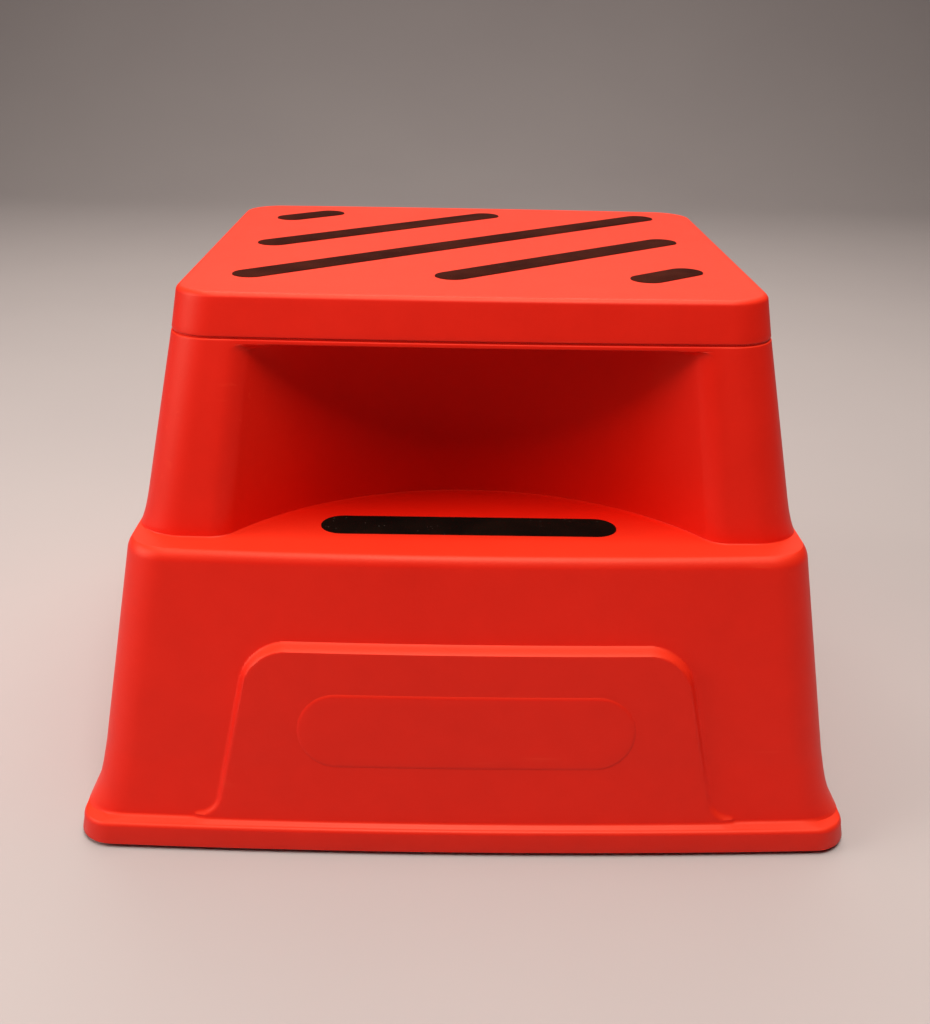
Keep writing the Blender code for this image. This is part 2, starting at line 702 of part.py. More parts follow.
def build_castor(corner, sx, sy):
    """One sprung castor: cup on the shelf, sliding sleeve, swivel fork, wheel."""
    x = sx * CASTOR_X
    y = sy * CASTOR_Y
    axis = (x, y)

    plate = rounded([(x - 29.0, y - 29.0), (x + 29.0, y - 29.0), (x + 29.0, y + 29.0),
                     (x - 29.0, y + 29.0)], [6.0] * 4, 2)
    holes = [circle(x + t * CASTOR_SCREW, y - t * sx * sy * CASTOR_SCREW, 2.3, 10)
             for t in (-1.0, 1.0)]
    cup = lathe("cup", [
        (13.0, CUP_BOTTOM), (CUP_RADIUS, CUP_BOTTOM), (CUP_RADIUS, CUP_TOP), (0.0, CUP_TOP),
        (0.0, CUP_TOP - 4.0), (15.5, CUP_TOP - 4.0), (15.5, CUP_BOTTOM + 4.0),
        (13.0, CUP_BOTTOM + 4.0)], axis)
    housing = place(f"castor_housing_{corner}", cup, ZINC_STEEL)
    flange = outline("flange", [plate, circle(x, y, CUP_RADIUS - 1.0, SEGMENTS)] + holes,
                     SHELF_LOW - 2.8, SHELF_LOW - 0.3)
    cut(housing, f"flange_{corner}", flange, "UNION")

    count = int(SPRING_TURNS * 8)
    coil = []
    for k in range(count + 1):
        angle = 2.0 * math.pi * SPRING_TURNS * k / count
        rise = (SPRING_HIGH - SPRING_LOW - 2.2) * k / count
        coil.append((x + 14.0 * math.cos(angle), y + 14.0 * math.sin(angle),
                     SPRING_LOW + 1.1 + rise))
    place(f"castor_spring_{corner}", wire("spring", coil, 1.0, 0), SPRING_STEEL)

    sleeve = lathe("sleeve", [
        (5.1, 50.0), (12.7, 50.0), (12.7, 64.3), (15.2, 64.3), (15.2, 70.0), (11.0, 70.0),
        (11.0, 99.0), (10.0, 100.0), (5.1, 100.0)], axis)
    place(f"castor_sleeve_{corner}", sleeve, NYLON, (x, y, 75.0))

    wheel_y = y + TRAIL
    turn = Matrix.Translation((x, wheel_y, WHEEL_RADIUS)) @ Matrix.Rotation(math.pi / 2.0, 4, "Y")
    side = [(wheel_y - 12.0, 13.0), (wheel_y + 7.0, 13.0), (wheel_y + 9.0, 22.0),
            (y + 12.0, 46.0), (y - 12.0, 46.0), (y - 12.0, 42.0)]
    inner_x = WHEEL_WIDTH / 2.0 + 1.0
    outer_x = inner_x + 2.0
    profile = rounded(side, [7.0, 7.0, 3.0, 0.0, 0.0, 3.0], 2)
    legs = outline("legs", [profile], x - outer_x, x + outer_x)
    legs.transform(Matrix(((0, 0, 1, 0), (1, 0, 0, 0), (0, 1, 0, 0), (0, 0, 0, 1))))
    fork = place(f"castor_fork_{corner}", legs, ZINC_STEEL, (x, y, 45.0))
    gap = box("gap", (x - inner_x, y - 30.0, 5.0), (x + inner_x, y + 50.0, 43.5))
    cut(fork, f"fork_gap_{corner}", gap)
    stem = lathe("stem", [
        (0.0, 45.0), (11.0, 45.0), (11.0, 48.0), (STEM_RADIUS, 48.0), (STEM_RADIUS, 100.2),
        (4.0, 100.2), (4.0, 102.6), (STEM_RADIUS, 102.6), (STEM_RADIUS, 105.0),
        (0.0, 105.0)], axis)
    cut(fork, f"fork_stem_{corner}", stem, "UNION")
    bore = rod("bore", (0.0, 0.0), 3.2, -15.0, 15.0, 12)
    bore.transform(turn)
    cut(fork, f"fork_bore_{corner}", bore)

    arc = [math.radians(30.0 + 300.0 * k / 10) for k in range(11)]
    clip = [(x + 5.2 * math.cos(a), y + 5.2 * math.sin(a), CLIP_LEVEL) for a in arc]
    place(f"castor_clip_{corner}", wire("clip", clip, CLIP_WIRE, 0), SPRING_STEEL, (x, y, 45.0))

    centre = (x, wheel_y, WHEEL_RADIUS)
    half = WHEEL_WIDTH / 2.0
    tyre = lathe("tyre", [
        (14.2, -half + 1.0), (17.4, -half + 1.0), (WHEEL_RADIUS, -half + 3.5),
        (WHEEL_RADIUS, half - 3.5), (17.4, half - 1.0), (14.2, half - 1.0)])
    tyre.transform(turn)
    place(f"castor_tyre_{corner}", tyre, TYRE_GREY, centre)
    hub = lathe("hub", [
        (3.05, -half), (6.0, -half), (6.5, -half + 3.0), (12.3, -half + 1.0),
        (13.9, -half + 1.0), (13.9, half - 1.0), (12.3, half - 1.0),
        (6.5, half - 3.0), (6.0, half), (3.05, half)])
    hub.transform(turn)
    place(f"castor_hub_{corner}", hub, NYLON, centre)
    pin = lathe("pin", [
        (0.0, -outer_x - 1.8), (4.2, -outer_x - 1.2), (4.6, -outer_x - 0.3), (2.98, -outer_x - 0.3),
        (2.98, outer_x + 0.3), (4.6, outer_x + 0.3), (4.2, outer_x + 1.2), (0.0, outer_x + 1.8)],
        segments=12)
    pin.transform(turn)
    place(f"castor_axle_{corner}", pin, ZINC_STEEL, (x, y, 45.0))

    for index, t in enumerate((-1.0, 1.0)):
        at = (x + t * CASTOR_SCREW, y - t * sx * sy * CASTOR_SCREW)
        mesh = screw_mesh(at, SHELF_LOW - 3.1, 4.2, 2.8, 2.0, 94.0)
        place(f"castor_screw_{corner}_{index + 1}", mesh, ZINC_STEEL)


build_body()
build_top()
build_strips()
build_pads()
build_cap_screws()
for (side_x, side_y), where in zip(CORNERS, CORNER_NAMES):
    build_castor(where, side_x, side_y)
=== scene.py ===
"""Looks of the kick step stool: smooth moulded shell and cap, grip strips and sprung castors."""

import math

import bmesh
import bpy
import numpy as np
from mathutils import Matrix, Vector


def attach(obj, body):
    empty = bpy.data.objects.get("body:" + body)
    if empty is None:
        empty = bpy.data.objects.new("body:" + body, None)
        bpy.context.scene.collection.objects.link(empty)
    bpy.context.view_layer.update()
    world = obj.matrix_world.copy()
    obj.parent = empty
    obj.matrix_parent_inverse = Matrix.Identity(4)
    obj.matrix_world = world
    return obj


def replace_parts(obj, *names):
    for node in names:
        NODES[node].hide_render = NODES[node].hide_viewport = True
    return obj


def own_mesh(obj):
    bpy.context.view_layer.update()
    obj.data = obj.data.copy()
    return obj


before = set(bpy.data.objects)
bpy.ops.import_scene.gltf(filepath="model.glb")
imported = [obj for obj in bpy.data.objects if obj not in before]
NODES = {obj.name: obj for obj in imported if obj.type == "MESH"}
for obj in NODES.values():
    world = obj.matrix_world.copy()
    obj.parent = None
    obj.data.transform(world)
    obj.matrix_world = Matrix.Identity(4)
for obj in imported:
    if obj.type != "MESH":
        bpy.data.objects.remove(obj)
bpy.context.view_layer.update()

MM = 0.001

# Lengths are in millimetres, as in the CAD, and become metres in as_object()
RIM_BOTTOM = 3.4
RIM_TOP = 21.5
TREAD_TOP = 231.4
BAY_LIP = 373.0
LIP_TOP = 376.7
DECK_UNDER = 374.0
DECK_TOP = 378.1
CAP_UNDER = 378.5
STEP_HEIGHT = 409.7
WALL = 4.0

# Rounded-rectangle sections: level, half width, front, back, corner radius, bow
RIM = (RIM_TOP, 300.0, -291.6, 291.6, 27.0, 7.5)
LOWER = [
    (24.6, 289.3, -280.4, 280.9, 27.0, 8.0),
    (69.2, 281.3, -271.1, 272.9, 30.0, 8.0),
    (231.4, 256.6, -244.1, 248.2, 32.0, 8.0),
]
UPPER = [
    (231.4, 251.2, -215.7, 242.8, 34.0, 4.2),
    (377.6, 224.8, -188.7, 216.4, 33.0, 4.2),
]
CAP = [
    (377.6, 224.8, -188.7, 216.4, 33.0, 4.2),
    (409.7, 219.8, -183.6, 211.4, 33.0, 4.2),
]
DECK_OPENING = (DECK_TOP, 130.0, -60.0, 145.0, 20.0, 0.0)

# Toe recess: a round bay in the upper front
BAY_CENTRE_Y = -330.6
BAY_RADIUS_FOOT = 217.6
BAY_RADIUS_HEAD = 219.4
PILLAR_ROUND = 22.0

# Raised front panel and the plain plate on it
PANEL_FOOT = 27.0
PANEL_HEAD = 163.6
PANEL_HALF_FOOT = 191.3
PANEL_HALF_HEAD = 163.5
PANEL_FLARE = 14.0
PANEL_ROUND = 28.0
PANEL_RISE_FOOT = 2.4
PANEL_RISE_HEAD = 9.0
PANEL_EDGE = 2.3
PLATE_RISE = 0.7
PLATE_HALF = 128.0
PLATE_LOW = 69.0
PLATE_HIGH = 129.0

# Rounding of the moulded edges
RIM_FOOT_ROUND = 1.2
RIM_EDGE = 4.0
WALL_FOOT = 26.5
SHOULDER = 9.0
TREAD_FILLET = 1.0
CEILING_ROUND = 6.0
LIP_EASE = 0.9
LIP_EDGE = 0.7
LIP_STEP = 1.6
CAP_EDGE = 4.0
CAP_EASE = 0.8

# Sweeps of the sides into the rim and into the tread's shoulder
RIM_DRAFT = 1.8
SWEEP_LOW = 20.3
SWEEP_TALL = 40.0
SWEEP_WIDE = 7.2
SHOULDER_EASE = 2.6
CLIMB_TALL = 30.0
CLIMB_WIDE = 2.5

# Grip strips
STRIP_ANGLE = math.radians(39.6)
STRIP_PITCH = 96.5
STRIP_WIDTH = 28.0
STRIP_FIELD = (-169.5, 169.5, -112.0, 163.5)
STRIP_DEPTH = 1.2
STRIP_PROUD = 0.5
STRIP_GAP = 0.3
STRIP_LONG = 5.0
STRIP_SOFT = 0.45
TREAD_STRIP = (0.0, -186.0, 114.0, 16.6)

# Shelves, ribs and screws
SHELF_LOW = 84.0
SHELF_TOP = 88.0
SHELF_INNER_X = 176.0
SHELF_INNER_Y = 166.0
RIB_TOP = 118.0
RIB_HALF = 1.5
CAP_RIB_LOW = 393.0
CAP_SCREWS = [(-150.0, -85.0), (150.0, -85.0), (-150.0, 165.0), (150.0, 165.0)]
SCREW_HOLE = 2.3

# Sprung castors
CASTOR_X = 215.0
CASTOR_Y = 205.0
WHEEL_RADIUS = 19.0
TRAIL = 14.0
CUP_BOTTOM = 60.0
CUP_TOP = 122.0
CUP_RADIUS = 18.0
SPRING_LOW = 70.3
SPRING_HIGH = 117.7
SPRING_TURNS = 4.0
SPRING_RADIUS = 14.0
SPRING_WIRE = 1.0
STEM_RADIUS = 4.85
CLIP_LEVEL = 101.4
CLIP_RADIUS = 5.2
CLIP_WIRE = 0.8
FLANGE_HALF = 29.0
CASTOR_SCREW = 22.0
CORNERS = [(-1.0, -1.0), (1.0, -1.0), (1.0, 1.0), (-1.0, 1.0)]
CORNER_NAMES = ["front_left", "front_right", "back_right", "back_left"]


# ------------------------------------------------------------------ materials

class Paint:
    """Short way to add shader nodes to one material. Places in a shader are in metres."""

    def __init__(self, name):
        self.material = bpy.data.materials.new(name)
        self.material.use_nodes = True
        self.tree = self.material.node_tree
        self.shader = self.tree.nodes["Principled BSDF"]
        self.place = self.add("ShaderNodeTexCoord").outputs["Object"]

    def add(self, kind, inputs=None, **settings):
        node = self.tree.nodes.new(kind)
        for key, value in settings.items():
            setattr(node, key, value)
        for key, value in (inputs or {}).items():
            if isinstance(value, bpy.types.NodeSocket):
                self.tree.links.new(value, node.inputs[key])
            else:
                node.inputs[key].default_value = value
        return node

    def noise(self, scale, detail=3.0, rough=0.5):
        node = self.add("ShaderNodeTexNoise", {"Vector": self.place, "Scale": scale,
                                               "Detail": detail, "Roughness": rough})
        return node.outputs["Fac"]

    def cells(self, scale, feature="F1"):
        node = self.add("ShaderNodeTexVoronoi", {"Vector": self.place, "Scale": scale},
                        feature=feature)
        return node.outputs["Distance"]

    def ramp(self, value, low, high, to_low, to_high):
        node = self.add("ShaderNodeMapRange", {"Value": value, "From Min": low, "From Max": high,
                                               "To Min": to_low, "To Max": to_high})
        return node.outputs["Result"]

    def mix(self, factor, first, second):
        """Colour between two colours; 6 and 7 are the mix node's colour inputs, 2 its output."""
        node = self.add("ShaderNodeMix", {0: factor, 6: first, 7: second}, data_type="RGBA")
        return node.outputs[2]

    def maths(self, operation, first, second):
        return self.add("ShaderNodeMath", {0: first, 1: second}, operation=operation).outputs[0]

    def times(self, first, second):
        return self.maths("MULTIPLY", first, second)

    def stretched(self, turn, scale, detail):
        """Noise drawn out into streaks."""
        space = self.add("ShaderNodeMapping", {"Vector": self.place, "Rotation": turn,
                                               "Scale": scale}).outputs["Vector"]
        node = self.add("ShaderNodeTexNoise", {"Vector": space, "Scale": 1.0, "Detail": detail})
        return node.outputs["Fac"]

    def bump(self, height, strength, distance):
        inputs = {"Height": height, "Strength": strength, "Distance": distance}
        return self.add("ShaderNodeBump", inputs).outputs["Normal"]

    def link(self, output, socket):
        self.tree.links.new(output, self.shader.inputs[socket])

    def set(self, socket, value):
        self.shader.inputs[socket].default_value = value


def recess_shade_mask(n):
    """Mask for painted shade: 1 on the walls of the toe recess, which see little light, and 0
    elsewhere.
    """
    spot = n.add("ShaderNodeSeparateXYZ", {"Vector": n.place}).outputs
    axis = n.add("ShaderNodeCombineXYZ", {"Y": BAY_CENTRE_Y * MM, "Z": spot["Z"]}).outputs[0]
    reach = n.add("ShaderNodeVectorMath", {0: n.place, 1: axis}, operation="DISTANCE")
    near = n.times(n.ramp(reach.outputs["Value"], 0.222, 0.234, 1.0, 0.0),
                   n.ramp(spot["Y"], -0.215, -0.140, 0.0, 1.0))
    return n.times(near, n.ramp(spot["Z"], 0.376, 0.380, 1.0, 0.0))


def red_plastic():
    """Moulded red, mottled and scuffed, with sun fade and a painted top-light sheen where it faces
    up, and painted shade in the recess.
    """
    n = Paint("moulded_red")
    grain = n.noise(900.0, 4.0, 0.6)
    pebble = n.cells(420.0)
    cloud = n.noise(5.0, 4.0, 0.55)
    mottle = n.noise(38.0, 3.0, 0.6)
    tone = n.maths("ADD", n.times(cloud, 0.6), n.times(mottle, 0.4))
    colour = n.mix(n.ramp(tone, 0.3, 0.7, 0.0, 1.0), (0.74, 0.0115, 0.0037, 1.0),
                   (0.82, 0.0140, 0.0048, 1.0))
    scuff = n.stretched((0.3, 0.2, 0.6), (9.0, 260.0, 160.0), 2.0)
    marks = n.times(n.ramp(scuff, 0.66, 0.74, 0.0, 1.0),
                    n.ramp(n.noise(11.0, 2.0, 0.5), 0.52, 0.68, 0.0, 0.35))
    colour = n.mix(marks, colour, (0.86, 0.05, 0.02, 1.0))
    recess = recess_shade_mask(n)
    # Sun fade and painted top-light sheen: faces that look up are painted a lighter, more orange
    # red.
    upward = n.add("ShaderNodeSeparateXYZ", {
        "Vector": n.add("ShaderNodeNewGeometry").outputs["Normal"]}).outputs["Z"]
    fade_and_top_sheen = n.times(n.ramp(upward, 0.30, 0.85, 0.0, 1.0), n.ramp(tone, 0.3, 0.7, 0.8, 1.0))
    # Painted shade: the lighter up-facing colour is kept out of the recess.
    fade_and_top_sheen = n.times(fade_and_top_sheen, n.ramp(recess, 0.0, 0.7, 1.0, 0.0))
    colour = n.mix(fade_and_top_sheen, colour, (0.86, 0.036, 0.0125, 1.0))
    # Painted shade: the recess's walls are painted a darker red.
    colour = n.mix(n.times(recess, 0.72), colour, (0.60, 0.0045, 0.0009, 1.0))
    n.link(colour, "Base Color")
    rough = n.ramp(n.maths("ADD", cloud, n.times(grain, 0.5)), 0.4, 1.1, 0.40, 0.52)
    n.link(rough, "Roughness")
    height = n.maths("ADD", n.times(grain, 0.6), n.times(pebble, 0.5))
    n.link(n.bump(height, 0.28, 0.0003), "Normal")
    # Painted shade: the recess's walls get a lower specular level, so less sheen.
    n.link(n.ramp(recess, 0.0, 0.8, 0.30, 0.05), "Specular IOR Level")
    n.set("Specular Tint", (1.0, 0.92, 0.75, 1.0))
    return n.material


def grip_black(name, painted_red_cast, speck):
    """Gritty black strip, with a painted red-brown cast of reflected red and brighter light, and
    pale specks of dust.
    """
    n = Paint(name)
    grit = n.cells(900.0)
    fine = n.noise(1800.0, 3.0, 0.7)
    wear = n.noise(26.0, 3.0, 0.6)
    # painted_red_cast is painted light: reflected red and the brighter light on the top, laid into
    # the strip's colour.
    dark = (0.003 + painted_red_cast * 0.6, 0.0015 + painted_red_cast * 0.06, 0.001 + painted_red_cast * 0.03, 1.0)
    pale = (0.008 + painted_red_cast, 0.0035 + painted_red_cast * 0.12, 0.002 + painted_red_cast * 0.06, 1.0)
    colour = n.mix(n.ramp(wear, 0.35, 0.7, 0.0, 1.0), dark, pale)
    spots = n.ramp(n.cells(330.0), 0.06, 0.11, 1.0, 0.0)
    chance = n.ramp(n.noise(60.0, 1.0, 0.5), 0.55, 0.62, 0.0, speck)
    colour = n.mix(n.times(spots, chance), colour, (0.32, 0.27, 0.25, 1.0))
    n.link(colour, "Base Color")
    n.link(n.ramp(fine, 0.3, 0.7, 0.82, 1.0), "Roughness")
    height = n.maths("ADD", n.times(grit, 0.8), n.times(fine, 0.5))
    n.link(n.bump(height, 0.8, 0.0006), "Normal")
    n.set("Specular IOR Level", 0.05)
    return n.material


def rubber(name, low, high):
    n = Paint(name)
    wear = n.noise(120.0, 4.0, 0.6)
    n.link(n.mix(wear, (*low, 1.0), (*high, 1.0)), "Base Color")
    n.link(n.ramp(n.noise(300.0), 0.3, 0.7, 0.6, 0.85), "Roughness")
    n.link(n.bump(n.noise(1500.0, 3.0, 0.6), 0.3, 0.0003), "Normal")
    return n.material


def steel(name, colour, rough, scratch):
    n = Paint(name)
    streak = n.stretched((0.0, 0.0, 0.4), (60.0, 60.0, 900.0), 3.0)
    spangle = n.cells(260.0, "SMOOTH_F1")
    dull = tuple(c * 0.72 for c in colour)
    n.link(n.mix(n.ramp(spangle, 0.1, 0.7, 0.0, 1.0), (*colour, 1.0), (*dull, 1.0)), "Base Color")
    n.link(n.ramp(streak, 0.3, 0.7, rough, rough + 0.18), "Roughness")
    n.link(n.bump(streak, scratch, 0.0002), "Normal")
    n.set("Metallic", 1.0)
    return n.material


def nylon():
    n = Paint("natural_nylon")
    n.link(n.mix(n.noise(40.0, 3.0), (0.62, 0.6, 0.53, 1.0), (0.78, 0.76, 0.7, 1.0)), "Base Color")
    n.link(n.ramp(n.noise(200.0), 0.3, 0.7, 0.38, 0.55), "Roughness")
    n.link(n.bump(n.noise(900.0), 0.15, 0.0002), "Normal")
    return n.material


RED = red_plastic()
# The top strips take a painted red-brown cast as lit strips; the tread's strip, shaded under the
# lip, takes none.
TOP_GRIP = grip_black("grip_grit_top", 0.045, 0.5)
TREAD_GRIP = grip_black("grip_grit_tread", 0.0, 1.0)
PAD = rubber("pad_rubber_black", (0.012, 0.012, 0.013), (0.035, 0.035, 0.037))
TYRE = rubber("tyre_rubber_grey", (0.10, 0.10, 0.11), (0.18, 0.18, 0.19))
ZINC = steel("zinc_plate", (0.62, 0.63, 0.66), 0.28, 0.25)
SPRING = steel("spring_wire", (0.36, 0.37, 0.40), 0.3, 0.15)
NYLON = nylon()


# -------------------------------------------------------------- mesh helpers

def as_object(name, mesh, material, sharp=32.0, body="step"):
    """Put a mesh made in millimetres in the scene as one smooth piece riding on a body."""
    mesh.transform(Matrix.Scale(MM, 4))
    mesh.materials.clear()
    mesh.materials.append(material)
    mesh.polygons.foreach_set("use_smooth", [True] * len(mesh.polygons))
    mesh.set_sharp_from_angle(angle=math.radians(sharp))
    obj = bpy.data.objects.new(name, mesh)
    bpy.context.scene.collection.objects.link(obj)
    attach(obj, body)
    return obj


def evaluated_mesh(obj):
    bpy.context.view_layer.update()
    graph = bpy.context.evaluated_depsgraph_get()
    return bpy.data.meshes.new_from_object(obj.evaluated_get(graph))


def holder_for(name, data):
    obj = bpy.data.objects.new(name, data)
    bpy.context.scene.collection.objects.link(obj)
    return obj


def combined(mesh, tools, operation):
    """Mesh after a Boolean with each tool mesh in turn."""
    base = holder_for("base", mesh)
    helpers = []
    for index, tool in enumerate(tools):
        helper = holder_for(f"tool_{index}", tool)
        helpers.append(helper)
        modifier = base.modifiers.new(f"cut_{index}", "BOOLEAN")
        modifier.operation = operation
        modifier.solver = "EXACT"
        modifier.object = helper
    result = evaluated_mesh(base)
    for obj in [base] + helpers:
        bpy.data.objects.remove(obj, do_unlink=True)
    return result


def outline(name, loops, low, high):
    """Flat curve filled on both sides and extruded from low to high along Z."""
    curve = bpy.data.curves.new(name, "CURVE")
    curve.dimensions = "2D"
    curve.fill_mode = "BOTH"
    curve.extrude = (high - low) / 2.0
    for loop in loops:
        spline = curve.splines.new("POLY")
        spline.points.add(len(loop) - 1)
        for point, (x, y) in zip(spline.points, loop):
            point.co = (x, y, 0.0, 1.0)
        spline.use_cyclic_u = True
    holder = holder_for(name, curve)
    mesh = evaluated_mesh(holder)
    bpy.data.objects.remove(holder, do_unlink=True)
    mesh.transform(Matrix.Translation((0.0, 0.0, (low + high) / 2.0)))
    return welded(mesh)


def welded(mesh):
    work = bmesh.new()
    work.from_mesh(mesh)
    bmesh.ops.remove_doubles(work, verts=work.verts, dist=0.001)
    bmesh.ops.recalc_face_normals(work, faces=work.faces)
    work.to_mesh(mesh)
    work.free()
    return mesh


def box(low, high):
    loop = [(low[0], low[1]), (high[0], low[1]), (high[0], high[1]), (low[0], high[1])]
    return outline("box", [loop], low[2], high[2])


def circle(cx, cy, radius, count=24):
    steps = [2.0 * math.pi * i / count for i in range(count)]
    return [(cx + radius * math.cos(a), cy + radius * math.sin(a)) for a in steps]


def merged(meshes):
    work = bmesh.new()
    for mesh in meshes:
        work.from_mesh(mesh)
    joined = bpy.data.meshes.new("merged")
    work.to_mesh(joined)
    work.free()
    return joined


def softened(mesh, width, segments=3, angle=40.0):
    """Round the edges of a plain solid."""
    holder = holder_for("soft", mesh)
    bevel = holder.modifiers.new("bevel", "BEVEL")
    bevel.width = width
    bevel.segments = segments
    bevel.limit_method = "ANGLE"
    bevel.angle_limit = math.radians(angle)
    result = evaluated_mesh(holder)
    bpy.data.objects.remove(holder, do_unlink=True)
    return result


def loft(name, rings, closed, end=True):
    """Skin over successive rings; closed joins the last ring to the first."""
    count = len(rings[0])
    verts = np.concatenate(rings)
    spans = len(rings) if closed else len(rings) - 1
    j = np.arange(count)
    k = (j + 1) % count
    faces = []
    for i in range(spans):
        a = i * count
        b = ((i + 1) % len(rings)) * count
        faces.append(np.stack([a + j, a + k, b + k, b + j], axis=1))
    faces = np.concatenate(faces).tolist()
    if not closed:
        faces.append(list(range(count))[::-1])
    if not closed and end:
        faces.append(list(range(len(verts) - count, len(verts))))
    mesh = bpy.data.meshes.new(name)
    mesh.from_pydata(verts.tolist(), [], faces)
    mesh.validate()
    return mesh


# --------------------------------------------------------- sections and rings

CORNER_STEPS = 18
SIDE_STEPS = 24
BACK_STEPS = 30
PILLAR_FLAT = 5
PILLAR_STEPS = 24
BAY_STEPS = 66
FRONT_HALF = PILLAR_FLAT + PILLAR_STEPS + BAY_STEPS


def between(table, level):
    """Section of a tapering wall at a level."""
    for low, high in zip(table, table[1:]):
        if level <= high[0] or high is table[-1]:
            share = (level - low[0]) / (high[0] - low[0])
            return tuple(a + (b - a) * share for a, b in zip(low, high))
    return table[0]


def inset(section, distance):
    """Section drawn in on all four sides."""
    level, half, front, back, corner, bow = section
    return (level, half - distance, front + distance, back - distance,
            max(corner - distance, 1.5), bow)


def bay_front(section, radius, edge):
    """Front line, left to right, with the toe recess let into it."""
    front = section[2]
    reach = section[1] - section[4]
    edge_y = front + edge
    edge_x = math.sqrt((radius + edge) ** 2 - (edge_y - BAY_CENTRE_Y) ** 2)
    touch = math.atan2(edge_y - BAY_CENTRE_Y, edge_x)
    flat_x = np.linspace(reach, edge_x, PILLAR_FLAT, endpoint=False)
    turn = -math.pi / 2.0 - (math.pi / 2.0 - touch) * np.arange(PILLAR_STEPS) / PILLAR_STEPS
    wall = touch + (math.pi / 2.0 - touch) * np.arange(BAY_STEPS) / BAY_STEPS
    xs = np.concatenate([flat_x, edge_x + edge * np.cos(turn), radius * np.cos(wall)])
    ys = np.concatenate([np.full(PILLAR_FLAT, front), edge_y + edge * np.sin(turn),
                         BAY_CENTRE_Y + radius * np.sin(wall)])
    return (np.concatenate([-xs, [0.0], xs[::-1]]),
            np.concatenate([ys, [BAY_CENTRE_Y + radius], ys[::-1]]))


def panel_half(level):
    """Half the panel's width at a level."""
    share = (level - PANEL_FOOT) / (PANEL_HEAD - PANEL_FOOT)
    share = min(max(share, -0.05), 1.3)
    return PANEL_HALF_FOOT + (PANEL_HALF_HEAD - PANEL_HALF_FOOT) * share


def panel_front(section, level):
    """Plain front line whose stations crowd along the panel's edges."""
    reach = section[1] - section[4]
    half = min(panel_half(level), 0.8 * reach)
    outer = min(half + 18.0, (reach + half) / 2.0)
    xs = np.concatenate([
        np.linspace(reach, outer, 12, endpoint=False),
        np.linspace(outer, half - 36.0, 42, endpoint=False),
        np.linspace(half - 36.0, 0.0, FRONT_HALF - 54, endpoint=False),
    ])
    return (np.concatenate([-xs, [0.0], xs[::-1]]), np.full(2 * FRONT_HALF + 1, section[2]))


def smooth(value):
    """Ease from 0 to 1."""
    value = np.clip(value, 0.0, 1.0)
    return value * value * (3.0 - 2.0 * value)


def panel_stand(level):
    """How far the panel's flat face stands out of the wall."""
    share = min(max((level - PANEL_FOOT) / (PANEL_HEAD - PANEL_FOOT), 0.0), 1.0)
    return PANEL_RISE_FOOT + (PANEL_RISE_HEAD - PANEL_RISE_FOOT) * share


def panel_rise(xs, level, margin=0.0):
    """How far the front stands out of the wall at one level, panel edges and feet included."""
    half = panel_half(level) - margin
    slope = math.atan((PANEL_HALF_FOOT - PANEL_HALF_HEAD) / (PANEL_HEAD - PANEL_FOOT))
    side = (half - np.abs(xs)) * math.cos(slope)
    top = PANEL_HEAD - margin - level
    radius = PANEL_ROUND - margin
    across = np.maximum(radius - side, 0.0)
    up = max(radius - top, 0.0)
    inside = np.where((across > 0.0) & (up > 0.0), radius - np.hypot(across, up),
                      np.minimum(side, top))
    low = PANEL_FOOT + PANEL_FLARE - level
    if low > 0.0 and margin == 0.0:
        out = half + PANEL_FLARE - np.abs(xs)
        flare = np.hypot(np.maximum(out, 0.0), low) - PANEL_FLARE + 0.5 * np.minimum(out, 0.0)
        inside = np.maximum(inside, flare)
    return panel_stand(level) * smooth((inside + PANEL_EDGE) / (2.0 * PANEL_EDGE))


def ring(section, level=None, bay=None, rise=None):
    """Loop of points round a section, counter-clockwise from above."""
    level = section[0] if level is None else level
    _, half, front, back, corner, bow = section
    reach = half - corner
    if bay:
        xs, ys = bay_front(section, *bay)
    else:
        xs, ys = panel_front(section, level)
        if rise is not None:
            ys = ys - panel_rise(xs, level, rise)
    parts = [np.stack([xs[1:-1], ys[1:-1]], axis=1)]
    arc = np.linspace(0.0, math.pi / 2.0, CORNER_STEPS + 1)
    along = np.linspace(0.0, 1.0, SIDE_STEPS + 1)[1:-1]
    behind = np.linspace(1.0, -1.0, BACK_STEPS + 1)[1:-1]
    centres = [(reach, front + corner, -math.pi / 2.0), (reach, back - corner, 0.0),
               (-reach, back - corner, math.pi / 2.0), (-reach, front + corner, math.pi)]
    for index, (cx, cy, start) in enumerate(centres):
        parts.append(np.stack([cx + corner * np.cos(start + arc),
                               cy + corner * np.sin(start + arc)], axis=1))
        if index == 1:
            parts.append(np.stack([reach * behind, np.full(len(behind), back)], axis=1))
        elif index in (0, 2):
            ends = (front + corner, back - corner)
            first, last = ends if index == 0 else ends[::-1]
            parts.append(np.stack([np.full(len(along), half if index == 0 else -half),
                                   first + (last - first) * along], axis=1))
    flat = np.concatenate(parts)
    middle = (front + back) / 2.0
    depth = (back - front) / 2.0
    y = flat[:, 1] + bow * (flat[:, 0] / half) ** 2 * (middle - flat[:, 1]) / depth
    return np.stack([flat[:, 0], y, np.full(len(flat), level)], axis=1)


def ring_at(table, level, inward=0.0, bay=None, rise=None):
    """Ring of a tapering wall at a level, drawn in by a distance."""
    return ring(inset(between(table, level), inward), level, bay, rise)


def spread(*runs):
    """Levels joined from (start, stop, step) runs."""
    levels = []
    for start, stop, step in runs:
        count = max(1, round((stop - start) / step))
        levels.extend(start + (stop - start) * k / count for k in range(count))
    return levels


def bay_radius(level):
    """Radius of the toe recess at a level."""
    share = (level - TREAD_TOP) / (BAY_LIP - TREAD_TOP)
    return BAY_RADIUS_FOOT + (BAY_RADIUS_HEAD - BAY_RADIUS_FOOT) * share


def mixed(first, last, share):
    return first + (last - first) * share


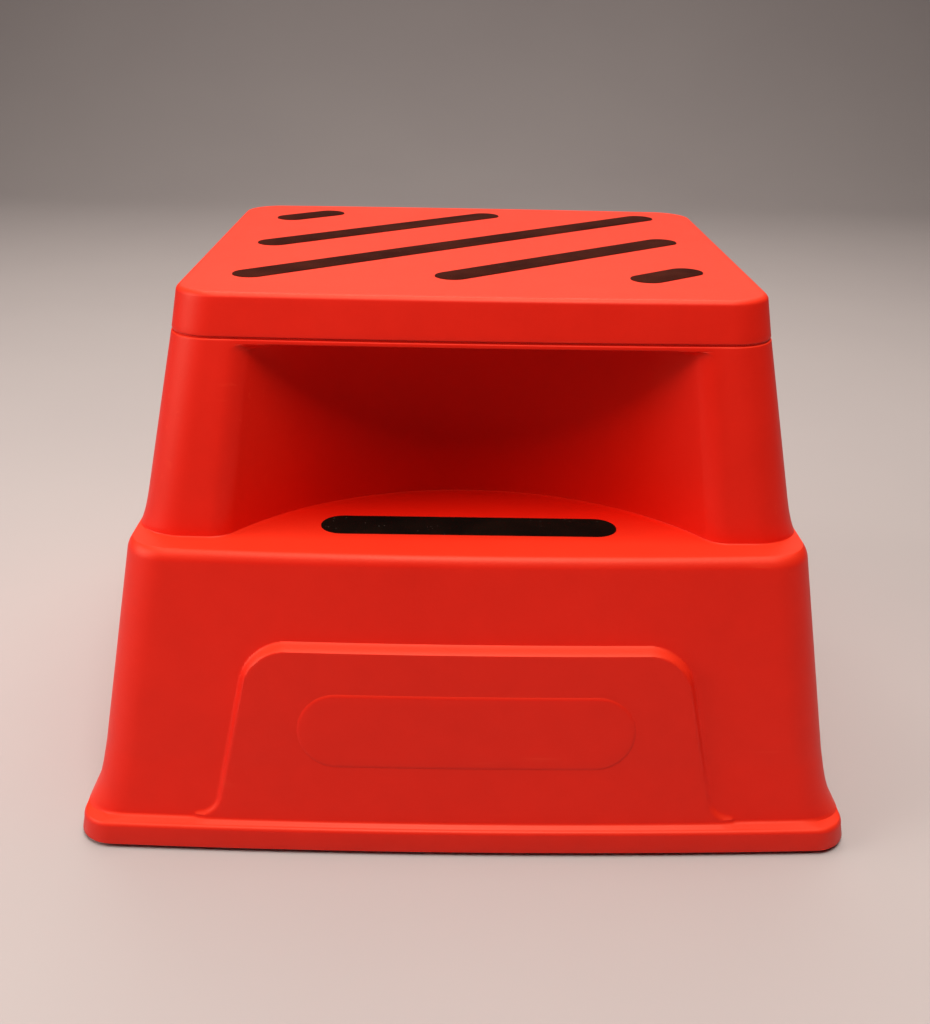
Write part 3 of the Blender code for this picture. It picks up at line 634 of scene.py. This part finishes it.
def blended(first, last, shares):
    return [mixed(first, last, share) for share in shares]


def quarter(steps):
    """Angles from 0 to 90 degrees in equal steps."""
    return [0.5 * math.pi * k / steps for k in range(steps + 1)]


def falling(turn):
    """1 at 0 degrees to 0 at 90, as a rounding closes on the surface that it meets."""
    return 1.0 - math.sin(turn)


def growing(turn):
    """0 at 0 degrees to 1 at 90, as a rounding leaves the surface that it starts on."""
    return 1.0 - math.cos(turn)


def facing_out(loop, section):
    """Outward push, sideways and backward: nothing along the front, 1 at the sides and back."""
    _, half, _, back, corner, bow = section
    across = smooth((np.abs(loop[:, 0]) - half + corner) / corner)
    straight = loop[:, 1] + bow * (loop[:, 0] / half) ** 2
    behind = smooth((straight - back + corner) / corner)
    return np.stack([np.sign(loop[:, 0]) * across, behind, np.zeros(len(loop))], axis=1)


def side_share(loop, section):
    """0 along the front, rising to 1 round the corners, the sides and the back."""
    return np.abs(facing_out(loop, section)).max(axis=1)[:, None]


def swept(loop, section, reach):
    """Push the sides and back of a ring outward."""
    return loop + reach * facing_out(loop, section)


def foot_sweep(level):
    """How far the sides flare out toward the rim."""
    share = min(max((level - SWEEP_LOW) / SWEEP_TALL, 0.0), 1.0)
    return SWEEP_WIDE * (1.0 - share) ** 3


def side_climb(level):
    """How far the upper sides flare out toward the tread."""
    share = min(max((level - TREAD_TOP) / CLIMB_TALL, 0.0), 1.0)
    return CLIMB_WIDE * (1.0 - share) ** 3


def wall_ring(level):
    """Ring of the lower wall, panel and foot sweep included."""
    section = between(LOWER, level)
    return swept(ring(section, level, rise=0.0), section, foot_sweep(level))


def recess_ring(level):
    """Ring of the upper wall with the toe recess and the sides' flare."""
    section = between(UPPER, level)
    return swept(ring(section, level, (bay_radius(level), PILLAR_ROUND)), section,
                 side_climb(level))


def rim_rings():
    rings = []
    for turn in quarter(4):
        rings.append(ring(inset(RIM, RIM_FOOT_ROUND * falling(turn)),
                          RIM_BOTTOM + RIM_FOOT_ROUND * growing(turn)))
    crown = inset(RIM, RIM_DRAFT)
    for turn in quarter(9):
        lean = turn * 2.0 / 3.0
        front = ring(inset(crown, 0.8 * RIM_EDGE * growing(turn)),
                     RIM_TOP - RIM_EDGE * falling(turn))
        side = ring(inset(crown, RIM_EDGE * growing(lean)),
                    RIM_TOP - 2.0 * RIM_EDGE * falling(lean))
        rings.append(mixed(front, side, side_share(front, RIM)))
    return rings


def ledge_rings(rim_edge):
    """Ledge round the top of the rim, and the fillet from it to the wall."""
    wall_foot = wall_ring(WALL_FOOT)
    start = between(LOWER, RIM_TOP)
    side_in = swept(ring(start), start, foot_sweep(RIM_TOP))
    ledge_in = ring(inset(LOWER[0], -2.6), RIM_TOP + 1.3)
    ledge_y = ledge_in[:, 1]
    ledge_in[:, 1] = np.where(ledge_y < 0.0, np.minimum(ledge_y, wall_foot[:, 1] - 2.2), ledge_y)
    ledge_in = mixed(ledge_in, side_in, side_share(ledge_in, LOWER[0]))
    corner_in = wall_foot * (1.0, 1.0, 0.0) + (0.0, 0.0, RIM_TOP + 2.0)
    corner_in = mixed(corner_in, ledge_in, side_share(corner_in, LOWER[0]) * (0.5, 0.5, 0.0))
    rings = blended(rim_edge, ledge_in, (0.1, 0.5, 1.0))
    for share in (0.2, 0.4, 0.6, 0.8):
        rings.append(mixed(mixed(ledge_in, corner_in, share), mixed(corner_in, wall_foot, share),
                           share))
    return rings


def lower_wall_rings():
    """Wall with the front panel, up to the tread's edge. Levels crowd at the panel's ends."""
    levels = spread((WALL_FOOT, 44.0, 1.3), (44.0, 132.0, 3.4), (132.0, 156.0, 1.5),
                    (156.0, 168.0, 0.8), (168.0, TREAD_TOP - SHOULDER, 5.5))
    rings = [wall_ring(level) for level in levels]
    for k, turn in enumerate(quarter(12)):
        share = k / 12.0
        level = TREAD_TOP - SHOULDER * falling(turn)
        front = ring_at(LOWER, level, 0.62 * SHOULDER * growing(turn))
        level = TREAD_TOP - SHOULDER * (1.0 - share)
        side = ring_at(LOWER, level, SHOULDER_EASE * share ** 2)
        rings.append(mixed(front, side, side_share(front, LOWER[2])))
    return rings


def tread_rings(tread_edge):
    """Tread, and the fillet from it to the pillars and the toe recess."""
    climb = []
    for turn in quarter(8)[::-1]:
        level = TREAD_TOP + TREAD_FILLET * falling(turn)
        reach = TREAD_FILLET * growing(turn)
        section = between(UPPER, level)
        bay = (bay_radius(level) - reach, PILLAR_ROUND)
        front = ring(inset(section, -reach), level, bay)
        side = swept(ring(section, level, bay), section, side_climb(level))
        climb.append(mixed(front, side, side_share(front, section)))
    return blended(tread_edge, climb[0], (0.02, 0.1, 0.3, 0.5, 0.7, 0.9, 0.98)) + climb


def recess_rings():
    """Upper wall and toe recess, up to the rounding under the recess's ceiling."""
    levels = spread((TREAD_TOP + TREAD_FILLET + 1.0, TREAD_TOP + 34.0, 3.0),
                    (TREAD_TOP + 34.0, BAY_LIP - CEILING_ROUND, 6.5))
    rings = [recess_ring(level) for level in levels]
    for turn in quarter(6):
        level = BAY_LIP - CEILING_ROUND * falling(turn)
        radius = bay_radius(level) - CEILING_ROUND * growing(turn)
        rings.append(ring_at(UPPER, level, 0.0, (radius, PILLAR_ROUND)))
    return rings


def lip_rings(ceiling):
    """Ceiling of the recess, the lip over it and the seat under the cap."""
    low = BAY_LIP + 0.6
    lip_low = ring_at(UPPER, low)
    rings = blended(ceiling, lip_low, (0.02, 0.25, 0.5, 0.75, 0.97))
    over_bay = smooth((ceiling[:, 1] - lip_low[:, 1]) / 12.0)[:, None]
    for turn in quarter(4)[1:]:
        level = low + LIP_EASE * growing(turn)
        rings.append(mixed(ring_at(UPPER, level), ring_at(UPPER, level, LIP_EASE * falling(turn)),
                           over_bay))
    for turn in quarter(4):
        level = LIP_TOP - LIP_EDGE * falling(turn)
        rings.append(ring_at(UPPER, level, LIP_EDGE * growing(turn)))
    lip_in = inset(between(UPPER, LIP_TOP), LIP_STEP)
    return rings + [ring(lip_in, LIP_TOP), ring(lip_in, DECK_TOP)]


def outer_rings():
    """Outside of the shell, from the foot of the rim to the deck."""
    rings = rim_rings()
    rings += ledge_rings(rings[-1])
    rings += lower_wall_rings()
    rings += tread_rings(rings[-1])
    rings += recess_rings()
    return rings + lip_rings(rings[-1])


def inner_rings():
    """Inside of the shell, from the deck's opening down to the foot of the rim."""
    edge = PILLAR_ROUND - WALL
    foot = TREAD_TOP - WALL
    rings = [
        ring(DECK_OPENING, DECK_TOP),
        ring(DECK_OPENING, DECK_UNDER),
        ring_at(UPPER, DECK_UNDER, WALL, (bay_radius(BAY_LIP) + WALL, edge)),
    ]
    for level in (340.0, 300.0, 260.0):
        rings.append(ring_at(UPPER, level, WALL, (bay_radius(level) + WALL, edge)))
    rings += [
        ring_at(UPPER, foot, WALL, (BAY_RADIUS_FOOT + WALL, edge)),
        ring_at(LOWER, foot, WALL + 4.0),
        ring_at(LOWER, foot - 5.0, WALL),
    ]
    levels = [31.0] + spread((34.0, 140.0, 12.0), (140.0, 164.0, 2.5), (164.0, 215.0, 12.0))
    rings.extend(ring_at(LOWER, level, WALL, rise=4.0) for level in levels[::-1])
    rings += [
        ring_at(LOWER, 28.0, WALL),
        ring(inset(LOWER[0], WALL), 21.0),
        ring(inset(LOWER[0], 2.5), 19.0),
        ring(inset(RIM, WALL + 1.0), RIM_TOP - WALL),
        ring(inset(RIM, WALL), RIM_TOP - WALL - 1.0),
        ring(inset(RIM, WALL), RIM_BOTTOM + 0.4),
        ring(inset(RIM, WALL - 0.4), RIM_BOTTOM),
    ]
    return rings


# -------------------------------------------------------------- moulded parts

def stadium(cx, cy, half, radius, steps=20):
    points = []
    for side, start in ((1.0, -0.5), (-1.0, 0.5)):
        for k in range(steps + 1):
            angle = math.pi * (start + k / steps)
            points.append((cx + side * (half - radius) + radius * math.cos(angle),
                           cy + radius * math.sin(angle)))
    return points


def build_body():
    """Hollow shell in one skin, outside and inside, with the tread strip's seat cut in it."""
    mesh = loft("step_shell", outer_rings() + inner_rings(), True)
    x, y, half, radius = TREAD_STRIP
    seat = outline("seat", [stadium(x, y, half + STRIP_GAP, radius + STRIP_GAP)],
                   TREAD_TOP - STRIP_DEPTH, TREAD_TOP + 3.0)
    mesh = combined(mesh, [seat], "DIFFERENCE")
    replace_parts(as_object("step_shell", mesh, RED), "body_shell")


def front_at(x, level):
    """Y of the raised panel's face."""
    _, half, front, _, _, bow = between(LOWER, level)
    return front - panel_stand(level) + bow * (x / half) ** 2


def along_run(first, last, count=40):
    """Points between two ends of the plate's outline, laid on the panel's bowed face."""
    run = mixed(first, last, np.linspace(0.0, 1.0, count + 2)[1:-1, None])
    run[:, 1] += [front_at(x, z) - front_at(first[0], z) for x, _, z in run]
    return run


def build_plate():
    """Plain raised plate in the middle of the front panel."""
    middle = (PLATE_LOW + PLATE_HIGH) / 2.0
    radius = (PLATE_HIGH - PLATE_LOW) / 2.0
    profile = [(0.0, -0.6), (0.2, 0.0), (0.7, PLATE_RISE * 0.35), (1.4, PLATE_RISE * 0.7),
               (2.2, PLATE_RISE * 0.92), (3.2, PLATE_RISE), (8.0, PLATE_RISE),
               (15.0, PLATE_RISE), (22.0, PLATE_RISE), (radius, PLATE_RISE)]
    rings = []
    for depth, height in profile:
        ends = np.array([(x, front_at(x, z) - height, z) for x, z in
                         stadium(0.0, middle, PLATE_HALF - depth, radius - depth, 28)])
        half = len(ends) // 2
        rings.append(np.concatenate([ends[:half], along_run(ends[half - 1], ends[half]),
                                     ends[half:], along_run(ends[-1], ends[0])]))
    mesh = loft("label_plate", rings, False, False)
    as_object("label_plate", welded(mesh), RED)


def rounded(points, radii, steps=8):
    """Round each corner of a polygon with its own radius."""
    result = []
    count = len(points)
    for i, corner in enumerate(points):
        here = Vector(corner)
        to_last = Vector(points[i - 1]) - here
        to_next = Vector(points[(i + 1) % count]) - here
        half = to_last.angle(to_next) / 2.0
        run = min(radii[i] / math.tan(half), 0.48 * min(to_last.length, to_next.length))
        if run < 0.02:
            result.append(tuple(here))
            continue
        radius = run * math.tan(half)
        bisector = (to_last.normalized() + to_next.normalized()).normalized()
        centre = here + bisector * (radius / math.sin(half))
        start = here + to_last.normalized() * run - centre
        end = here + to_next.normalized() * run - centre
        sweep = start.angle_signed(end)
        for k in range(steps + 1):
            turn = Matrix.Rotation(-sweep * k / steps, 2)
            result.append(tuple(centre + turn @ start))
    return result


def strip_outline(offset, margin):
    """Round-ended strip whose centre line crosses the field diagonally.

    The middle one runs on a little past the field at its left end.
    """
    along = Vector((math.cos(STRIP_ANGLE), math.sin(STRIP_ANGLE)))
    left, right, front, back = STRIP_FIELD
    middle = Vector(((left + right) / 2.0, (front + back) / 2.0))
    middle += Vector((-along.y, along.x)) * offset
    ahead = min((right - middle.x) / along.x, (back - middle.y) / along.y)
    behind = max((left - middle.x) / along.x, (front - middle.y) / along.y)
    if offset == 0.0:
        behind -= STRIP_LONG
    centre = middle + along * (ahead + behind) / 2.0
    radius = STRIP_WIDTH / 2.0 + margin
    turn = Matrix.Rotation(STRIP_ANGLE, 2)
    loop = stadium(0.0, 0.0, (ahead - behind) / 2.0 + radius, radius)
    return [tuple(centre + turn @ Vector(point)) for point in loop]


STRIP_OFFSETS = [STRIP_PITCH * k for k in (2, 1, 0, -1, -2)]


def build_top():
    """Cap over the deck, with a seat cut for each grip strip."""
    rings = [
        ring_at(CAP, STEP_HEIGHT - WALL, WALL + 3.0),
        ring(inset(between(CAP, STEP_HEIGHT - WALL), WALL + 1.0), STEP_HEIGHT - WALL - 0.4),
        ring_at(CAP, STEP_HEIGHT - WALL - 2.0, WALL),
        ring(inset(between(CAP, CAP_UNDER), WALL), CAP_UNDER + 0.3),
        ring(inset(between(CAP, CAP_UNDER), WALL - 0.3), CAP_UNDER),
    ]
    for turn in quarter(4):
        level = CAP_UNDER + CAP_EASE * growing(turn)
        rings.append(ring_at(CAP, level, CAP_EASE * falling(turn)))
    for level in spread((383.0, STEP_HEIGHT - CAP_EDGE, 5.0)):
        rings.append(ring_at(CAP, level))
    for turn in quarter(10):
        level = STEP_HEIGHT - CAP_EDGE * falling(turn)
        rings.append(ring_at(CAP, level, CAP_EDGE * growing(turn)))
    rings.append(ring_at(CAP, STEP_HEIGHT, CAP_EDGE + 1.0))
    seats = [outline("seat", [strip_outline(offset, STRIP_GAP)],
                     STEP_HEIGHT - STRIP_DEPTH, STEP_HEIGHT + 3.0) for offset in STRIP_OFFSETS]
    mesh = combined(loft("step_cap", rings, False), [merged(seats)], "DIFFERENCE")
    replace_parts(as_object("step_cap", mesh, RED), "top_platform")


def build_strips():
    for index, offset in enumerate(STRIP_OFFSETS):
        mesh = outline("strip", [strip_outline(offset, 0.0)],
                       STEP_HEIGHT - STRIP_DEPTH + STRIP_GAP, STEP_HEIGHT + STRIP_PROUD)
        strip = as_object(f"grip_top_{index + 1}", softened(mesh, STRIP_SOFT), TOP_GRIP)
        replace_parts(strip, f"top_grip_strip_{index + 1}")
    x, y, half, radius = TREAD_STRIP
    mesh = outline("strip", [stadium(x, y, half, radius)],
                   TREAD_TOP - STRIP_DEPTH + STRIP_GAP, TREAD_TOP + STRIP_PROUD)
    strip = as_object("grip_tread", softened(mesh, STRIP_SOFT), TREAD_GRIP)
    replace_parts(strip, "tread_grip_strip")


# ------------------------------------------------------- inside of the mouldings

# Turns an outline drawn in X and Y into one standing in Y and Z, its thickness along X
TO_SIDE = Matrix(((0, 0, 1, 0), (1, 0, 0, 0), (0, 1, 0, 0), (0, 0, 0, 1)))


def castor_screws(sx, sy):
    """The two screws of one castor, on the flange's diagonal along the shelf."""
    return [(sx * CASTOR_X + t, sy * CASTOR_Y - t * sx * sy)
            for t in (-CASTOR_SCREW, CASTOR_SCREW)]


def build_shelves():
    """Corner shelves that carry the castors, with an upstand round each."""
    rings = [ring_at(LOWER, level, WALL / 2.0) for level in (SHELF_LOW, RIB_TOP)]
    big = 330.0
    low = SHELF_LOW - 2.0
    high = RIB_TOP + 2.0
    ix, iy = SHELF_INNER_X, SHELF_INNER_Y
    cross = [(-ix, -big), (ix, -big), (ix, -iy), (big, -iy), (big, iy), (ix, iy), (ix, big),
             (-ix, big), (-ix, iy), (-big, iy), (-big, -iy), (-ix, -iy)]
    tools = [outline("cross", [cross], low, high)]
    holes = []
    for sx, sy in CORNERS:
        xs = sorted((sx * (ix + 3.0), sx * big))
        ys = sorted((sy * (iy + 3.0), sy * big))
        tools.append(box((xs[0], ys[0], SHELF_TOP), (xs[1], ys[1], high)))
        loops = [circle(sx * CASTOR_X, sy * CASTOR_Y, CUP_RADIUS + 0.6, 64)]
        loops += [circle(*at, SCREW_HOLE) for at in castor_screws(sx, sy)]
        holes += [outline("hole", [loop], low, SHELF_TOP + 1.0) for loop in loops]
    tools.append(merged(holes))
    mesh = combined(loft("shelves", rings, False), tools, "DIFFERENCE")
    as_object("castor_shelves", mesh, RED, 30.0)


def build_ribs():
    """Stiffening ribs under the tread and under the cap, and the cap's screw posts."""
    parts = []
    for x in (-120.0, -60.0, 0.0, 60.0, 120.0):
        end = BAY_CENTRE_Y + math.sqrt((BAY_RADIUS_FOOT + WALL) ** 2 - x * x) - 7.0
        bow = LOWER[2][5] * (x / LOWER[2][1]) ** 2
        rib = outline("rib", [[(bow - 246.7, 204.0), (end, 214.0), (end, TREAD_TOP - 2.0),
                               (bow - 241.9, TREAD_TOP - 2.0)]], x - RIB_HALF, x + RIB_HALF)
        rib.transform(TO_SIDE)
        parts.append(rib)
    for x in (-75.0, 0.0, 75.0):
        parts.append(box((x - RIB_HALF, -181.0, CAP_RIB_LOW),
                         (x + RIB_HALF, 208.0, STEP_HEIGHT - 3.0)))
    for x, y in CAP_SCREWS:
        post = [circle(x, y, 6.5, 48), circle(x, y, 2.9, 32)]
        parts.append(outline("post", post, CAP_UNDER, STEP_HEIGHT - 3.0))
    as_object("ribs_and_posts", merged(parts), RED, 30.0)


# ------------------------------------------------------------------- castors

def turned(profile, centre=(0.0, 0.0), segments=64):
    """Solid turned about a vertical axis from a (radius, height) profile."""
    count = len(profile)
    edges = [(i, (i + 1) % count) for i in range(count)]
    if profile[0][0] == 0.0 and profile[-1][0] == 0.0:
        edges.pop()
    mesh = bpy.data.meshes.new("turned")
    mesh.from_pydata([(r, 0.0, z) for r, z in profile], edges, [])
    holder = holder_for("turned", mesh)
    screw = holder.modifiers.new("turn", "SCREW")
    screw.steps = segments
    screw.render_steps = segments
    screw.use_merge_vertices = True
    screw.merge_threshold = 0.0001
    result = evaluated_mesh(holder)
    bpy.data.objects.remove(holder, do_unlink=True)
    result.transform(Matrix.Translation((centre[0], centre[1], 0.0)))
    return welded(result)


def wire(points, radius, resolution=4):
    curve = bpy.data.curves.new("wire", "CURVE")
    curve.dimensions = "3D"
    curve.bevel_depth = radius
    curve.bevel_resolution = resolution
    curve.use_fill_caps = True
    spline = curve.splines.new("POLY")
    spline.points.add(len(points) - 1)
    for point, place in zip(spline.points, points):
        point.co = (*place, 1.0)
    holder = holder_for("wire", curve)
    mesh = evaluated_mesh(holder)
    bpy.data.objects.remove(holder, do_unlink=True)
    return welded(mesh)


def screw(centre, head_top, radius, height, shank, shank_top):
    """Pan-head screw, head down, with a cross recess."""
    low = head_top - height
    profile = [(0.0, low), (radius * 0.5, low), (radius * 0.86, low + height * 0.22),
               (radius, low + height * 0.62), (radius, head_top), (shank, head_top),
               (shank, shank_top), (0.0, shank_top)]
    profile = profile[:1] + rounded(profile, [0.0, 2.0, 1.2, 0.8, 0.2, 0.1, 0.3, 0.0], 4)[1:]
    x, y = centre
    arms = []
    for long_x, long_y in ((0.5, 0.1), (0.1, 0.5)):
        dx, dy = long_x * radius, long_y * radius
        arms.append(box((x - dx, y - dy, low - 1.0), (x + dx, y + dy, low + height * 0.45)))
    return combined(turned(profile, centre, 40), arms, "DIFFERENCE")


def build_housing(corner, sx, sy):
    """Pressed cup and flange on the shelf."""
    x, y = sx * CASTOR_X, sy * CASTOR_Y
    bore = CUP_RADIUS - 2.5
    cup = [(13.0, CUP_BOTTOM), (CUP_RADIUS, CUP_BOTTOM), (CUP_RADIUS, CUP_TOP), (0.0, CUP_TOP),
           (0.0, CUP_TOP - 4.0), (bore, CUP_TOP - 4.0), (bore, CUP_BOTTOM + 4.0),
           (13.0, CUP_BOTTOM + 4.0)]
    cup = rounded(cup, [0.5, 2.0, 3.0, 0.0, 0.0, 1.5, 0.8, 0.5], 4)
    plate = rounded([(x + dx * FLANGE_HALF, y + dy * FLANGE_HALF) for dx, dy in CORNERS],
                    [6.0] * 4)
    loops = [plate, circle(x, y, CUP_RADIUS - 1.0, 64)]
    loops += [circle(*at, SCREW_HOLE) for at in castor_screws(sx, sy)]
    flange = softened(outline("flange", loops, SHELF_LOW - 2.8, SHELF_LOW - 0.3), 0.5, 2)
    housing = as_object(f"cup_{corner}", merged([turned(cup, (x, y)), flange]), ZINC,
                        30.0)
    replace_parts(housing, f"castor_housing_{corner}")


def build_spring(corner, x, y):
    """Coil spring that the castor squashes against the cup as it sinks, drawn here at one fixed
    length.
    """
    count = int(SPRING_TURNS * 40)
    climb = SPRING_HIGH - SPRING_LOW - 2.2 * SPRING_WIRE
    coil = []
    for k in range(count + 1):
        angle = 2.0 * math.pi * SPRING_TURNS * k / count
        coil.append((x + SPRING_RADIUS * math.cos(angle), y + SPRING_RADIUS * math.sin(angle),
                     SPRING_LOW + 1.1 * SPRING_WIRE + climb * k / count))
    spring = as_object(f"coil_{corner}", wire(coil, SPRING_WIRE), SPRING, 40.0)
    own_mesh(spring)
    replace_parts(spring, f"castor_spring_{corner}")


def build_sleeve(corner, x, y):
    """Nylon guide that slides in the cup."""
    profile = [(5.1, 50.0), (12.7, 50.0), (12.7, 64.3), (15.2, 64.3), (15.2, 70.0), (11.0, 70.0),
               (11.0, 99.0), (10.0, 100.0), (5.1, 100.0)]
    profile = rounded(profile, [0.6, 0.8, 0.4, 0.6, 0.6, 0.4, 0.3, 0.3, 0.4], 3)
    sleeve = as_object(f"guide_{corner}", turned(profile, (x, y)), NYLON, 30.0,
                       f"sleeve_{corner}")
    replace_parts(sleeve, f"castor_sleeve_{corner}")


def build_fork(corner, x, y):
    """Fork with its stem, and the snap ring that holds the stem in the sleeve."""
    wheel_y = y + TRAIL
    side = [(wheel_y - 12.0, 13.0), (wheel_y + 7.0, 13.0), (wheel_y + 9.0, 22.0),
            (y + 12.0, 46.0), (y - 12.0, 46.0), (y - 12.0, 42.0)]
    legs = outline("legs", [rounded(side, [7.0, 7.0, 3.0, 0.0, 0.0, 3.0])], x - 11.0, x + 11.0)
    legs.transform(TO_SIDE)
    legs = softened(legs, 1.0, 3, 60.0)
    gap = box((x - 9.0, y - 30.0, 5.0), (x + 9.0, y + 50.0, 43.5))
    stem = [(0.0, 45.0), (11.0, 45.0), (11.0, 48.0), (STEM_RADIUS, 48.0),
            (STEM_RADIUS, CLIP_LEVEL - 1.2), (4.0, CLIP_LEVEL - 1.2), (4.0, CLIP_LEVEL + 1.2),
            (STEM_RADIUS, CLIP_LEVEL + 1.2), (STEM_RADIUS, 105.0), (0.0, 105.0)]
    stem = turned(rounded(stem, [0.0, 0.5, 0.8, 0.3, 0.2, 0.1, 0.1, 0.2, 0.8, 0.0], 3),
                  (x, y), 48)
    mesh = combined(combined(legs, [gap], "DIFFERENCE"), [stem], "UNION")
    fork = as_object(f"yoke_{corner}", mesh, ZINC, 30.0, f"fork_{corner}")
    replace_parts(fork, f"castor_fork_{corner}")

    arc = [math.radians(30.0 + 300.0 * k / 40) for k in range(41)]
    loop = [(x + CLIP_RADIUS * math.cos(a), y + CLIP_RADIUS * math.sin(a), CLIP_LEVEL)
            for a in arc]
    clip = as_object(f"ring_{corner}", wire(loop, CLIP_WIRE), SPRING, 40.0,
                     f"fork_{corner}")
    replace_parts(clip, f"castor_clip_{corner}")


def build_wheel(corner, x, y):
    """Tyre and hub, and the axle through the fork, each turned about the wheel's axis."""
    lay = (Matrix.Translation((x, y + TRAIL, WHEEL_RADIUS))
           @ Matrix.Rotation(math.pi / 2.0, 4, "Y"))
    tyre = [(14.2, -7.0), (17.4, -7.0), (WHEEL_RADIUS, -4.5), (WHEEL_RADIUS, 4.5), (17.4, 7.0),
            (14.2, 7.0)]
    hub = [(3.05, -8.0), (6.0, -8.0), (6.5, -5.0), (12.3, -7.0), (13.9, -7.0), (13.9, 7.0),
           (12.3, 7.0), (6.5, 5.0), (6.0, 8.0), (3.05, 8.0)]
    axle = [(0.0, -12.8), (3.2, -12.7), (4.6, -11.6), (4.6, -11.3), (2.98, -11.3), (2.98, 11.3),
            (4.6, 11.3), (4.6, 11.6), (3.2, 12.7), (0.0, 12.8)]
    pieces = [
        ("tread", "tyre", "wheel", TYRE, "tyre_grey", tyre, [0.2, 1.2, 2.0, 2.0, 1.2, 0.2]),
        ("wheel", "hub", "wheel", NYLON, "nylon", hub,
         [0.2, 0.5, 0.8, 0.6, 0.2, 0.2, 0.6, 0.8, 0.5, 0.2]),
        ("pin", "axle", "fork", ZINC, "zinc_steel", axle,
         [0.0, 1.0, 0.3, 0.1, 0.1, 0.1, 0.1, 0.3, 1.0, 0.0]),
    ]
    for name, node, body, material, slot, points, radii in pieces:
        mesh = turned(rounded(points, radii, 4))
        mesh.transform(lay)
        piece = as_object(f"{name}_{corner}", mesh, material, 30.0, f"{body}_{corner}")
        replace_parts(piece, f"castor_{node}_{corner}")


def build_castor(corner, sx, sy):
    x, y = sx * CASTOR_X, sy * CASTOR_Y
    build_housing(corner, sx, sy)
    build_spring(corner, x, y)
    build_sleeve(corner, x, y)
    build_fork(corner, x, y)
    build_wheel(corner, x, y)
    for index, at in enumerate(castor_screws(sx, sy)):
        piece = as_object(f"flange_screw_{corner}_{index + 1}",
                          screw(at, SHELF_LOW - 3.1, 4.2, 2.8, 2.0, 94.0), ZINC)
        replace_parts(piece, f"castor_screw_{corner}_{index + 1}")


def build_cap_screws():
    for index, at in enumerate(CAP_SCREWS):
        piece = as_object(f"deck_screw_{index + 1}",
                          screw(at, DECK_UNDER - 0.3, 4.6, 3.0, 2.4, 394.0), ZINC)
        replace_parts(piece, f"cap_screw_{index + 1}")


# ------------------------------------------------------- carried-over CAD nodes

def dress_pads():
    """The foot pads keep the CAD's mesh and take the scene's rubber."""
    for name, node in NODES.items():
        if name.startswith("foot_pad"):
            node.data.materials.clear()
            node.data.materials.append(PAD)


build_body()
build_plate()
build_top()
build_strips()
build_shelves()
build_ribs()
build_cap_screws()
for name, (side_x, side_y) in zip(CORNER_NAMES, CORNERS):
    build_castor(name, side_x, side_y)
dress_pads()


# ------------------------------------------------------------- camera and light

def build_camera():
    """Camera at the photo's angle, in metres and radians."""
    pitch = 0.40693
    yaw = 0.01565
    roll = 0.02044
    stand = (-0.01653, -1.03452, 0.60914)
    forward = Vector((math.sin(yaw) * math.cos(pitch), math.cos(yaw) * math.cos(pitch),
                      -math.sin(pitch)))
    right = Vector((math.cos(yaw), -math.sin(yaw), 0.0))
    up = right.cross(forward)
    across = right * math.cos(roll) + up * math.sin(roll)
    upward = up * math.cos(roll) - right * math.sin(roll)
    data = bpy.data.cameras.new("camera")
    data.lens = 42.19
    data.sensor_width = 36.0
    data.clip_start = 0.05
    camera = bpy.data.objects.new("camera", data)
    camera.matrix_world = Matrix((
        (across.x, upward.x, -forward.x, stand[0]),
        (across.y, upward.y, -forward.y, stand[1]),
        (across.z, upward.z, -forward.z, stand[2]),
        (0.0, 0.0, 0.0, 1.0),
    ))
    bpy.context.scene.collection.objects.link(camera)
    bpy.context.scene.camera = camera


def area_light(name, place, target, size, power, colour):
    data = bpy.data.lights.new(name, "AREA")
    data.shape = "RECTANGLE"
    data.size = size[0]
    data.size_y = size[1]
    data.energy = power
    data.color = colour
    light = bpy.data.objects.new(name, data)
    light.location = place
    aim = Vector(target) - Vector(place)
    light.rotation_euler = aim.to_track_quat("-Z", "Y").to_euler()
    bpy.context.scene.collection.objects.link(light)


def build_backdrop():
    """Floor that sweeps up into a wall behind the step, in metres."""
    n = Paint("studio_paper")
    n.link(n.mix(n.noise(2.0, 4.0), (0.46, 0.41, 0.435, 1.0), (0.50, 0.45, 0.47, 1.0)),
           "Base Color")
    n.set("Roughness", 0.9)
    n.set("Specular IOR Level", 0.15)
    flat, radius, wide, tall = 2.8, 1.4, 7.0, 6.0
    line = [(-wide, 0.0)]
    for turn in quarter(24):
        line.append((flat + radius * math.sin(turn), radius * growing(turn)))
    line.append((flat + radius, tall))
    verts = [(x, y, z) for y, z in line for x in (-wide, wide)]
    faces = [(2 * i, 2 * i + 1, 2 * i + 3, 2 * i + 2) for i in range(len(line) - 1)]
    mesh = bpy.data.meshes.new("backdrop")
    mesh.from_pydata(verts, [], faces)
    mesh.polygons.foreach_set("use_smooth", [True] * len(mesh.polygons))
    mesh.materials.append(n.material)
    backdrop = bpy.data.objects.new("backdrop", mesh)
    bpy.context.scene.collection.objects.link(backdrop)


def build_lights():
    world = bpy.data.worlds.new("studio")
    bpy.context.scene.world = world
    world.use_nodes = True
    background = world.node_tree.nodes["Background"]
    background.inputs["Color"].default_value = (1.0, 0.97, 0.94, 1.0)
    background.inputs["Strength"].default_value = 0.02
    middle = (0.0, 0.0, 0.25)
    warm = (1.0, 0.94, 0.82)
    area_light("key", (0.08, -1.15, 2.5), middle, (1.15, 1.15), 49.0, warm)
    area_light("overhead", (0.1, 0.4, 2.8), middle, (2.6, 2.2), 52.0, warm)
    area_light("behind", (0.0, 2.2, 2.6), middle, (2.6, 1.2), 27.0, warm)
    area_light("left", (-2.3, -0.6, 1.3), middle, (1.4, 1.4), 35.0, warm)
    bpy.context.scene.view_settings.view_transform = "Standard"


build_camera()
build_backdrop()
build_lights()
